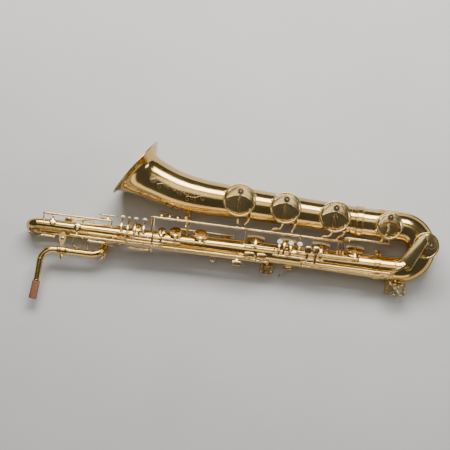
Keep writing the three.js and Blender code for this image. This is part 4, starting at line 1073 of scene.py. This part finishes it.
def make_flank_guards():
    felt = Shape()
    for name in ("A", "Bb", "B", "Cs"):
        feet = (30, 150, 215, 325) if name == "Cs" else (25, 155, 205, 335)
        shape = Shape()
        flank_guard(shape, felt, LOW_KEYS[name], feet, 33, 23, 14)
        fixed(f"guard_low_{name}", shape, "keys")
    shape = Shape()
    z = flank_guard(shape, felt, LOW_KEYS["C"], (-30, 60, 140), 31, 14, 4, -85) + 2
    lower = [vec(460, 29, z - 3), vec(491, 8, z - 3)]
    upper = [vec(515, 108, z + 0.5), vec(527, 84, z + 0.5)]
    rings = []
    for w in np.linspace(0, 1, 26):
        a, b = lower[0] * (1 - w) + upper[0] * w, lower[1] * (1 - w) + upper[1] * w
        bow = 2.2 * math.sin(math.pi * w)
        across = np.linspace(0, 1, 13)[:, None]
        top = a * (1 - across) + b * across + np.outer(np.sin(math.pi * across[:, 0]) * 1.6 + bow, Z)
        rings.append(np.concatenate([top + 0.8 * Z, (top - 0.8 * Z)[::-1]]))
    loft(shape, rings, "flat", "flat")
    for foot, head in zip(lower, upper):
        bow = vec(0, 0, 2.2)
        edge = curve([(foot[0] - 8, foot[1] - 9, 30), foot - vec(3, 4, 5), foot,
                      (foot + head) / 2 + bow, head], 40)
        tube(shape, edge, 1.7, 14)
    fixed("guard_low_C", shape, "keys")
    piece("guard_felts", felt, ROOT, "felt")


def cage(name, hole, outward, size, reach, foot, oval, windows):
    """A cage over a cup: two rings joined by straps and round windows, with spokes and a hub on top."""
    shape, felt = Shape(), Shape()
    centre = hole + outward * reach
    across = unit(np.cross(outward, X))

    def spoke(angle):
        return oval * math.cos(math.radians(angle)) * X + math.sin(math.radians(angle)) * across

    angles = np.linspace(0, 360, 72, endpoint=False)
    for rise, wide, deep in ((0, 2.0, 4.4), (foot + 3 - reach, 1.8, 3.2)):
        ring = [centre + outward * rise + spoke(angle) * (size - 0.4) for angle in angles]
        sweep(shape, ring, rounded(wide, deep, 3.2, 14), outward, loop=True)
    for angle in (60, 120):
        a, b = centre - spoke(angle) * (size - 1), centre + spoke(angle) * (size - 1)
        sweep(shape, resample([a, b], 8), rounded(3.4, 1.8), unit(np.cross(outward, b - a)))
    lathe(shape, [(0, -1.4), (6.4, -1.4), (7, 0), (6.4, 1.3), (0, 1.6)], centre, outward, 32)
    lathe(felt, [(0, -3.4), (5.2, -3.4), (5.4, -1.4), (0, -1.4)], centre, outward, 28)
    for angle in (30, 150, 210, 330):
        top = centre + spoke(angle) * (size - 0.4)
        strap = resample([top - outward * (reach - foot + 1), top], 6)
        sweep(shape, strap, rounded(5.0, 2.2, 3.0, 14), unit(np.cross(outward, top - centre)))
    window = min((reach - foot) * 0.4, size * 0.42)
    for side in windows:
        hoop = []
        for t in np.linspace(0, 2 * math.pi, 48, endpoint=False):
            rise = outward * (window * math.sin(t) - (reach - foot) / 2)
            angle = side + math.degrees(window * math.cos(t) / size)
            hoop.append(centre + spoke(angle) * (size - 0.4) + rise)
        sweep(shape, hoop, rounded(4.4, 1.8, 3.0, 12), spoke(side), loop=True)
    fixed(name, shape, "keys")
    piece(f"{name}_felt", felt, ROOT, "felt")


def make_cages():
    cage("guard_low_Eb", vec(LOW_EB[0], LOW_EB[1], 0), -Y, 26.5, 33, 2, 1.18,
         (62, 118, 242, 298))
    x, angle = HOLES["altFs"][:2]
    cage("guard_alt_Fs", around(x, angle, body_radius(x)), around(0, angle, 1), 18, 29,
         3, 1.0, (62, 118))


# ---------------------------------------------------------------- keys
class Key:
    """One moving key: metal, pads and pearls, drawn closed and then swung to its place at rest.

    line is the name of its hinge line, and rest is how far it stands open, in degrees.
    """

    def __init__(self, name, line=None, rest=0.0):
        self.name, self.line, self.rest = name, LINES.get(line), rest
        self.metal, self.pads, self.pearls = Shape(), Shape(), Shape()

    def cup(self, seat, out, radius, pad=True):
        lift = 1.1 if pad else 0.0
        profile = [(0, lift), (radius - 1.1, lift), (radius - 0.2, lift + 0.1), (radius, lift + 0.5),
                   (radius, 3.0), (radius - 0.5, 3.6), (radius * 0.9, 3.85), (radius * 0.83, 3.95),
                   (radius * 0.78, 4.3), (radius * 0.55, 4.9), (radius * 0.28, 5.25), (0, 5.35)]
        lathe(self.metal, profile, seat, out, 56 if radius > 14 else 40)
        boss = min(5.0, radius * 0.34)
        lathe(self.metal, [(boss, 5.0), (boss, 5.7), (boss * 0.8, 6.3), (0, 6.5)], seat, out, 28)
        if pad:
            inset = radius - 0.9
            lathe(self.pads, [(0, 0.15), (inset - 1.4, 0.1), (inset - 0.4, 0.35), (inset, 1.0),
                              (inset - 0.2, 2.0), (0, 2.0)], seat, out, 40)
            if radius > 11:
                lathe(self.metal, [(0, -0.5), (radius * 0.3, -0.2), (radius * 0.42, 0.12),
                                   (radius * 0.42, 0.6), (0, 0.6)], seat, out, 28)

    def body_cup(self, hole):
        x, angle, radius = HOLES[hole]
        self.cup(around(x, angle, body_radius(x) + CHIMNEY_HEIGHT + GAP), around(0, angle, 1), radius)

    def arch(self, x, angle, end_radius, arch, width=5.0, taper=(1.0, 1.0)):
        y, z = self.line[:2]
        start = math.degrees(math.atan2(z, y))
        swing = angle - start
        if swing > 180:
            swing -= 360
        inner = max(end_radius, arch * 0.97)
        points = [vec(x, y, z), around(x, start + swing * 0.13, arch),
                  around(x, start + swing * 0.55, inner),
                  around(x, start + swing, end_radius)]
        arm(self.metal, points, width, 3.0, taper)
        self.collar(x, width)

    def collar(self, x, width):
        y, z = self.line[:2]
        half = width / 2 + 0.8
        lathe(self.metal, [(ROD_R - 0.2, -half), (ROD_R + 0.7, -half + 0.5), (ROD_R + 0.7, half - 0.5),
                           (ROD_R - 0.2, half)], (x, y, z), X, 22)

    def cup_arm(self, hole, arch=0.0):
        x, angle = HOLES[hole][:2]
        top = body_radius(x) + CHIMNEY_HEIGHT + GAP + CUP_HEIGHT
        self.arch(x, angle, top - 0.3, max(arch, top + 2), 6.0, (0.85, 1.25))

    def pearl(self, x, angle, radius, arch, size=PEARL_R):
        seat, out = around(x, angle, radius - 3.5), around(0, angle, 1)
        lathe(self.metal, [(0, 0), (size * 0.55, 0.1), (size * 0.85, 0.8), (size, 1.8), (size, 3.5),
                           (size - 0.5, 3.8), (size - 0.9, 3.4), (size - 1.0, 2.2), (0, 2.2)],
              seat, out, 36)
        lathe(self.pearls, [(0, 2.1), (size - 1.1, 2.1), (size - 1.1, 3.3), (size - 1.8, 3.75),
                            (size * 0.5, 3.55), (0, 3.45)], seat, out, 36)
        self.arch(x, angle, radius - 3, arch)

    def bar(self, x, *points, width=5.0, thickness=3.0, taper=(1.0, 1.0)):
        """A flat arm that leaves the hinge tube at x."""
        arm(self.metal, [(x, *self.line[:2]), *points], width, thickness, taper)
        self.collar(x, width)

    def touch(self, centre, size, power=3.2):
        """A finger plate: size along X, Y and Z; the thinnest way is its thickness."""
        thin = int(np.argmin(size))
        u, v = [axis for k, axis in enumerate((X, Y, Z)) if k != thin]
        wide, deep = [s for k, s in enumerate(size) if k != thin]
        if thin == 1:
            u, v, wide, deep = v, u, deep, wide
        outline = rounded(wide, deep, power, 36)
        plate(self.metal, outline, np.array(centre), u, v, size[thin], edge=1.0, crown=0.7)

    def tube(self, first=0):
        posts = self.line[2]
        hinge_tube(self.metal, self.line, posts[first] + POST_HALF + 0.4,
                   posts[first + 1] - POST_HALF - 0.4)

    def closes(self, hole, arch=0.0, first=0):
        """The hinge tube, cup and cup arm of a key that closes a hole on the body."""
        self.tube(first)
        self.body_cup(hole)
        self.cup_arm(hole, arch)

    def finish(self, body=None, pad_node=None):
        for suffix, shape, look, node in (("metal", self.metal, "keys", self.name),
                                          ("pads", self.pads, "pads", pad_node),
                                          ("pearl", self.pearls, "pearl", None)):
            if shape.points:
                if self.line is not None:
                    shape.swing(self.line, self.rest)
                piece(f"{self.name}_{suffix}", shape, body or self.name, look, [node] if node else [])


FRONT = (14, 46)
RIGHT = (50, 55)
OVER = 45.5


def make_upper_stack():
    for name, line, first, hole, x, rest, arch, cup_arch, size in (
            ("key_B", "stackTop", 0, "B", -301, 7, 42, 0, PEARL_R),
            ("key_G", "stackTop", 1, "G", -240, 7, 42, 0, PEARL_R),
            ("key_A", "stackTopMiddle", 0, "A", -264, 6.5, OVER, OVER, PEARL_R),
            ("key_bis", "bis", 0, "bis", -283, 6, OVER, OVER, 5.0)):
        made = Key(name, line, rest)
        made.closes(hole, cup_arch, first)
        made.pearl(x, *FRONT, arch, size)
        made.finish()


def make_lower_stack():
    made = Key("key_F_sharp", "stackLow", 6)
    made.closes("Fs", 48)
    made.finish()
    made = Key("key_D", "stackLow", 6)
    made.closes("D", 48, 2)
    made.pearl(187, *RIGHT, 50)
    made.finish()
    made = Key("key_F", "stackLowOuter", 5.5)
    made.tube()
    made.body_cup("F")
    made.pearl(132, *RIGHT, 51)
    made.bar(145, (145, 20, 50), (147, 38, 37), around(152, 20, 38), taper=(0.9, 1.3))
    made.finish()
    made = Key("key_E", "stackLowOuter", 5.5)
    made.closes("E", 54, 1)
    made.pearl(163, *RIGHT, 51)
    made.finish()


def make_side_keys():
    for note, x, y in (("E", 22, -38), ("C", 54, -10), ("Bb", 87, -10)):
        made = Key(f"key_side_{note}", f"side{note}")
        made.closes(f"side{note}")
        made.bar(x, (x, (made.line[0] + y) / 2, 38), (x, y, 41), width=6)
        made.touch((x, y, 41), (28, 13, 3))
        made.finish()


def make_front_f():
    made = Key("key_front_F", "frontF")
    made.closes("frontF")
    made.bar(-342, (-342, 38, 5), (-342, 44, 0), width=6)
    made.touch((-342, 45, -3), (50, 3, 14), 2.6)
    made.finish()


def low_cup(made, low):
    """A large cup with its stamped rings and its leather pad. Gives the height of its top."""
    seat = vec(low["x"], low["y"], low["surface"] + LOW_CHIMNEY_HEIGHT + GAP)
    r = low["cup"]
    profile = [(0, PAD_HEIGHT), (r - 0.6, PAD_HEIGHT - 0.2), (r, PAD_HEIGHT + 0.2), (r, 5.6),
               (r - 0.4, 6.2), (r - 1.4, 6.5), (r - 2.8, 6.3), (r - 4.0, 6.5), (r * 0.7, 7.1),
               (r * 0.45, 7.7), (r * 0.2, 8.0), (0, 8.1)]
    lathe(made.metal, profile, seat, Z, 96)
    lathe(made.metal, [(7, 7.6), (7, 8.5), (5.6, 9.2), (0, 9.4)], seat, Z, 36)
    inset = r - 1.2
    lathe(made.pads, [(0, 0.1), (inset - 2, 0.05), (inset - 0.5, 0.4), (inset, 1.2),
                      (inset - 0.2, 2.45), (0, 2.45)], seat, Z, 72)
    resonator = [(0, -0.7), (r * 0.25, -0.4), (r * 0.4, 0.06), (r * 0.4, 0.5), (0, 0.5)]
    lathe(made.metal, resonator, seat, Z, 36)
    return seat[2] + PAD_HEIGHT + CUP_HEIGHT


# The routes of each rail key's arms, in X and Y, from its hinge tube to its cup.
ARM_ROUTES = {
    "A": [[(12, 57), (12, 68), (10, 86), (9, 110), (9, 143)],
          [(29, 57), (29, 68), (38, 80), (40, 96), (40, 114)]],
    "Bb": [[(102, 57), (106, 66), (126, 71), (132, 84), (134, 105), (134, 138)],
           [(160, 57), (161, 68), (165, 80), (167, 94), (167, 110)]],
    "B": [[(242, 57), (246, 64), (262, 68), (268, 80), (270, 100), (270, 132)],
          [(285, 57), (287, 68), (298, 78), (301, 92), (301, 106)]],
    "Cs": [[(405, 68), (408, 80), (416, 94), (419, 106), (419, 122)]],
}


def pinky(made, x):
    """A touch for the little finger, at the end of an arm that dips beside the rail."""
    y, z = made.line[:2]
    made.bar(x, (x, y + 8, z - 2), (x, y + 9, z - 14), (x, y + 9, -10))
    made.touch((x, y + 9, -22), (20, 3, 30), 3.4)


def make_rail_keys():
    """The low A, B flat, B and C sharp keys, on the rail between body and bell."""
    for name, body in (("A", "key_low_A"), ("Bb", "key_low_Bb"), ("B", "key_low_B"),
                       ("Cs", "key_low_C_sharp")):
        low = LOW_KEYS[name]
        made = Key(f"key_low_{name}", low["hinge"], low["open"])
        y, z = made.line[:2]
        made.tube()
        top = low_cup(made, low)
        for route in ARM_ROUTES[name]:
            points = []
            for ax, ay in route:
                rise = min((ay - y) / (low["y"] - low["cup"] * 0.85 - y), 1.0)
                points.append(vec(ax, ay, z + (top + 1.0 - z) * rise * rise * (3 - 2 * rise)))
            end = (low["y"] - route[-1][1]) / low["cup"]
            points[-1] = points[-1] - Z * (0.8 if abs(end) < 0.35 else 1.6)
            arm(made.metal, points, 6.0, 3.0, (0.9, 1.1), count=40)
            made.collar(route[0][0], 6.5)
        if name == "A":
            made.bar(-213, (-213, 20, 54.5), (-213, -14, 54.5), (-213, -29, 46.5), (-213, -39, 37),
                     (-213, -40.5, 29), width=4)
        elif name == "Cs":
            made.bar(320, (320, y - 7, z - 8), (316, 59, 9))
        else:
            pinky(made, -196 if name == "Bb" else -174)
        made.finish(body, f"pad_low_{name}")


def make_levers():
    made = Key("lever_low_C_sharp", "railCs")
    made.tube()
    pinky(made, -152)
    made.bar(294, (297, 61, 9), (306, 62, 5), (318, 60, 3))
    made.finish()
    made = Key("lever_low_A", "thumbA")
    made.tube()
    made.bar(-224, (-223, -37.5, 9), (-215, -38, 13), (-211, -38, 13))
    made.bar(-248, (-248, -38, -10), width=6)
    made.touch((-248, -38.5, -16), (34, 3, 16))
    made.finish()


def make_low_c_and_eb():
    low = LOW_KEYS["C"]
    made = Key("key_low_C", "lowC", low["open"])
    made.tube()
    top = low_cup(made, low)
    made.bar(440, (450, -4, 51), (476, 14, 52), (500, 46, top + 1.5), (low["x"], low["y"], top + 0.2),
             width=7.5, thickness=3.2, taper=(0.85, 1.0))
    made.bar(209, (209, -2, 54.5), (209, 18, 57), width=6)
    made.touch((210, 24, 58), (18, 20, 3))
    made.finish(pad_node="pad_low_C")
    made = Key("key_low_Eb", "lowEb")
    made.tube()
    x, y, radius = LOW_EB
    made.cup(vec(x, y - 4 - GAP, 0), -Y, radius)
    made.bar(440, (444, -36, 33), (452, -45, 20), (x, y - 9.5, 0), width=6)
    made.bar(232, (232, -18, 49), (232, -2, 56), (232, 18, 57.5), width=6)
    made.touch((232, 24, 58), (18, 20, 3))
    made.finish()


def make_small_keys():
    """The alternate F sharp and G sharp keys, and the octave mechanism."""
    made = Key("key_alt_F_sharp", "altFs")
    made.closes("altFs")
    made.bar(143, (143, -8, -40), (143, 6, -42.5))
    made.touch((143, 9, -43), (12, 14, 3))
    made.finish()
    made = Key("key_G_sharp", "Gs")
    made.closes("Gs")
    made.bar(-128, (-128, 44, -20), (-128, 58, -22))
    made.touch((-128, 62, -22), (18, 20, 3))
    made.finish()
    made = Key("octave_lever", "octave")
    made.tube()
    made.bar(-346, (-340, -35, -4), (-322, -36, -10), width=6)
    made.touch((-322, -36, -12), (22, 3, 16), 2.6)
    made.bar(-383, (-383, -26, -8), (-383, -22, -17), width=4)
    made.finish()
    made = Key("octave_vent_body", "vent")
    made.closes("vent")
    made.finish()
    made = Key("octave_vent_top", "octave")
    hinge_tube(made.metal, made.line, -518, -480)
    seat = vent_seat(TOP_BOW_R + 5 + GAP)
    lathe(made.metal, [(0, 0.8), (4.6, 0.8), (5, 1.2), (5, 2.8), (4.2, 3.6), (2, 4.4), (0, 4.5)], seat,
          VENT_OUT, 32)
    lathe(made.pads, [(0, 0), (4.2, 0), (4.4, 0.9), (0, 0.9)], seat, VENT_OUT, 28)
    made.bar(-514, (-531, -35, 0), (-547, -34, -9), vent_seat(TOP_BOW_R + 8.4), width=4, thickness=2.6,
             taper=(1, 1.3))
    made.bar(-484, (-482, -28, -6), (-478, -26, -14), width=4, thickness=2.6)
    made.finish()


def palm_level(hole):
    return body_radius(HOLES[hole][0]) + CHIMNEY_HEIGHT + GAP + CUP_HEIGHT


def make_palm_keys():
    """Keys for the left palm, each on a pin of its own between two ears."""
    for name, hole, pin_x, touch_x, spread in PALM_KEYS:
        x, angle = HOLES[hole][:2]
        out = around(0, angle, 1)
        side = unit(np.cross(out, X))
        level = palm_level(hole)
        made = Key(name)
        pin = around(pin_x, angle, level + PALM_PIN_RISE)
        rod(made.metal, pin - side * 7.4, pin + side * 7.4, ROD_R)
        path = curve([
            around(x, angle, level - 0.2),
            around((x + pin_x) / 2, angle, level + 1.5),
            pin,
            around((pin_x + touch_x) / 2, angle, level + 6) + side * spread * 0.9,
            around(touch_x, angle, level + 9) + side * spread,
        ], 40)
        sweep(made.metal, path, rounded(5.4, 3.4), side, np.linspace(1.0, 0.9, 40))
        drop = [(u, v * (1 - 0.25 * u / 13)) for u, v in rounded(23, 13, 2.3, 40)]
        plate(made.metal, drop, path[-1] + out * 0.4 - X * 3, X, np.cross(out, X), 3.0,
              edge=0.9, crown=1.0)
        made.body_cup(hole)
        made.finish()


LOOP_R = 34


def make_water_key():
    """The spit key on the pigtail loop, and the saddle that carries its pin."""
    made = Key("water_key")
    middle = (pigtail_turn + receiver_turn) / 2
    apex = middle + X * (LOOP_R + PIGTAIL_R + 0.6)
    hinge = vec(-338, -66, 1)
    lathe(made.metal, [(0, 0.8), (4.6, 0.8), (5, 1.1), (5, 2.1), (4, 2.8), (0, 3.1)], apex, X, 28)
    lathe(made.pads, [(0, 0), (4.3, 0), (4.4, 0.9), (0, 0.9)], apex, X, 24)
    pin = unit(vec(0, 1, 1))
    rod(made.metal, hinge - pin * 6, hinge + pin * 6, 2.4)
    for way in (-1, 1):
        lathe(made.metal, [(2.4, 0), (3.0, 0.4), (3.0, 1.2), (2.4, 1.6)],
              hinge + pin * way * 4.4 - pin * 0.8, pin, 20)
    path = curve([apex + X * 2, (-332, -55, -11), hinge, (-348, -78, 12)], 30)
    sweep(made.metal, path, rounded(3.6, 2.8), pin, np.linspace(1, 1.15, 30))
    made.finish()
    across = unit(pigtail_turn - receiver_turn)
    toward = unit((hinge - middle) * X + across * np.dot(hinge - middle, across))
    heart = middle + toward * LOOP_R
    seat = heart + unit(hinge - heart) * (PIGTAIL_R - 1.0)
    ears = Shape()
    for way in (-1, 1):
        leg_path = resample([seat + pin * way * 5.0, hinge + pin * way * 7.0], 8)
        sweep(ears, leg_path, rounded(1.6, 5.4), pin, np.linspace(1.2, 1.0, 8))
        rod(ears, hinge + pin * way * 6.2, hinge + pin * way * 7.9, 3.0, 24)
    piece("water_key_saddle", ears, ROOT, "keys")


# ---------------------------------------------------------------- floor and light
FLOOR_HALF = 9.0


def make_stage():
    mesh = bpy.data.meshes.new("floor")
    corners = [(x * FLOOR_HALF, y * FLOOR_HALF, 0) for x, y in ((-1, -1), (1, -1), (1, 1), (-1, 1))]
    mesh.from_pydata(corners, [], [(0, 1, 2, 3)])
    floor = bpy.data.objects.new("floor", mesh)
    bpy.context.scene.collection.objects.link(floor)
    paper = [(0.3, (0.60, 0.60, 0.60)), (0.7, (0.64, 0.64, 0.635))]
    mesh.materials.append(material("floor_paper", paper, 3, (0.7, 0.8), 20, 0.05, 300))
    world = bpy.data.worlds.new("studio")
    world.use_nodes = True
    world.node_tree.nodes["Background"].inputs["Color"].default_value = (0.75, 0.80, 0.86, 1)
    world.node_tree.nodes["Background"].inputs["Strength"].default_value = 0.11
    bpy.context.scene.world = world


def area_light(name, place, target, size, power, color):
    data = bpy.data.lights.new(name, "AREA")
    data.shape = "RECTANGLE"
    data.size, data.size_y = size
    data.energy = power
    data.color = color
    lamp = bpy.data.objects.new(name, data)
    bpy.context.scene.collection.objects.link(lamp)
    lamp.location = place
    lamp.rotation_euler = (Vector(target) - Vector(place)).to_track_quat("-Z", "Y").to_euler()


def make_lights():
    area_light("key_light", (-0.1, 1.55, 1.9), (0, 0.05, 0), (2.6, 0.9), 105, (1.0, 0.98, 0.94))
    area_light("fill_light", (0.3, -2.6, 0.7), (0, 0, 0), (2.8, 0.9), 13, (1.0, 0.86, 0.66))
    area_light("end_light", (2.4, 0.4, 1.3), (0.3, 0, 0), (0.9, 0.9), 16, (0.95, 0.97, 1.0))
    area_light("top_light", (-0.2, 0.3, 4.6), (0, 0, 0), (3.4, 1.5), 26, (1.0, 0.93, 0.80))


# ---------------------------------------------------------------- build
for make in (
    make_body_tube, make_bow, make_bell, make_engraving, make_rings, make_top_bow, make_pigtail,
    make_receiver, make_receiver_brace, make_neck, make_neck_screw, make_bell_brace, make_strap_ring,
    make_thumb_fittings, make_flank_guards, make_cages, make_springs, make_hinge_screws,
    make_upper_stack, make_lower_stack, make_side_keys, make_front_f, make_rail_keys, make_levers,
    make_low_c_and_eb, make_small_keys, make_palm_keys, make_water_key, make_stage, make_lights,
):
    make()
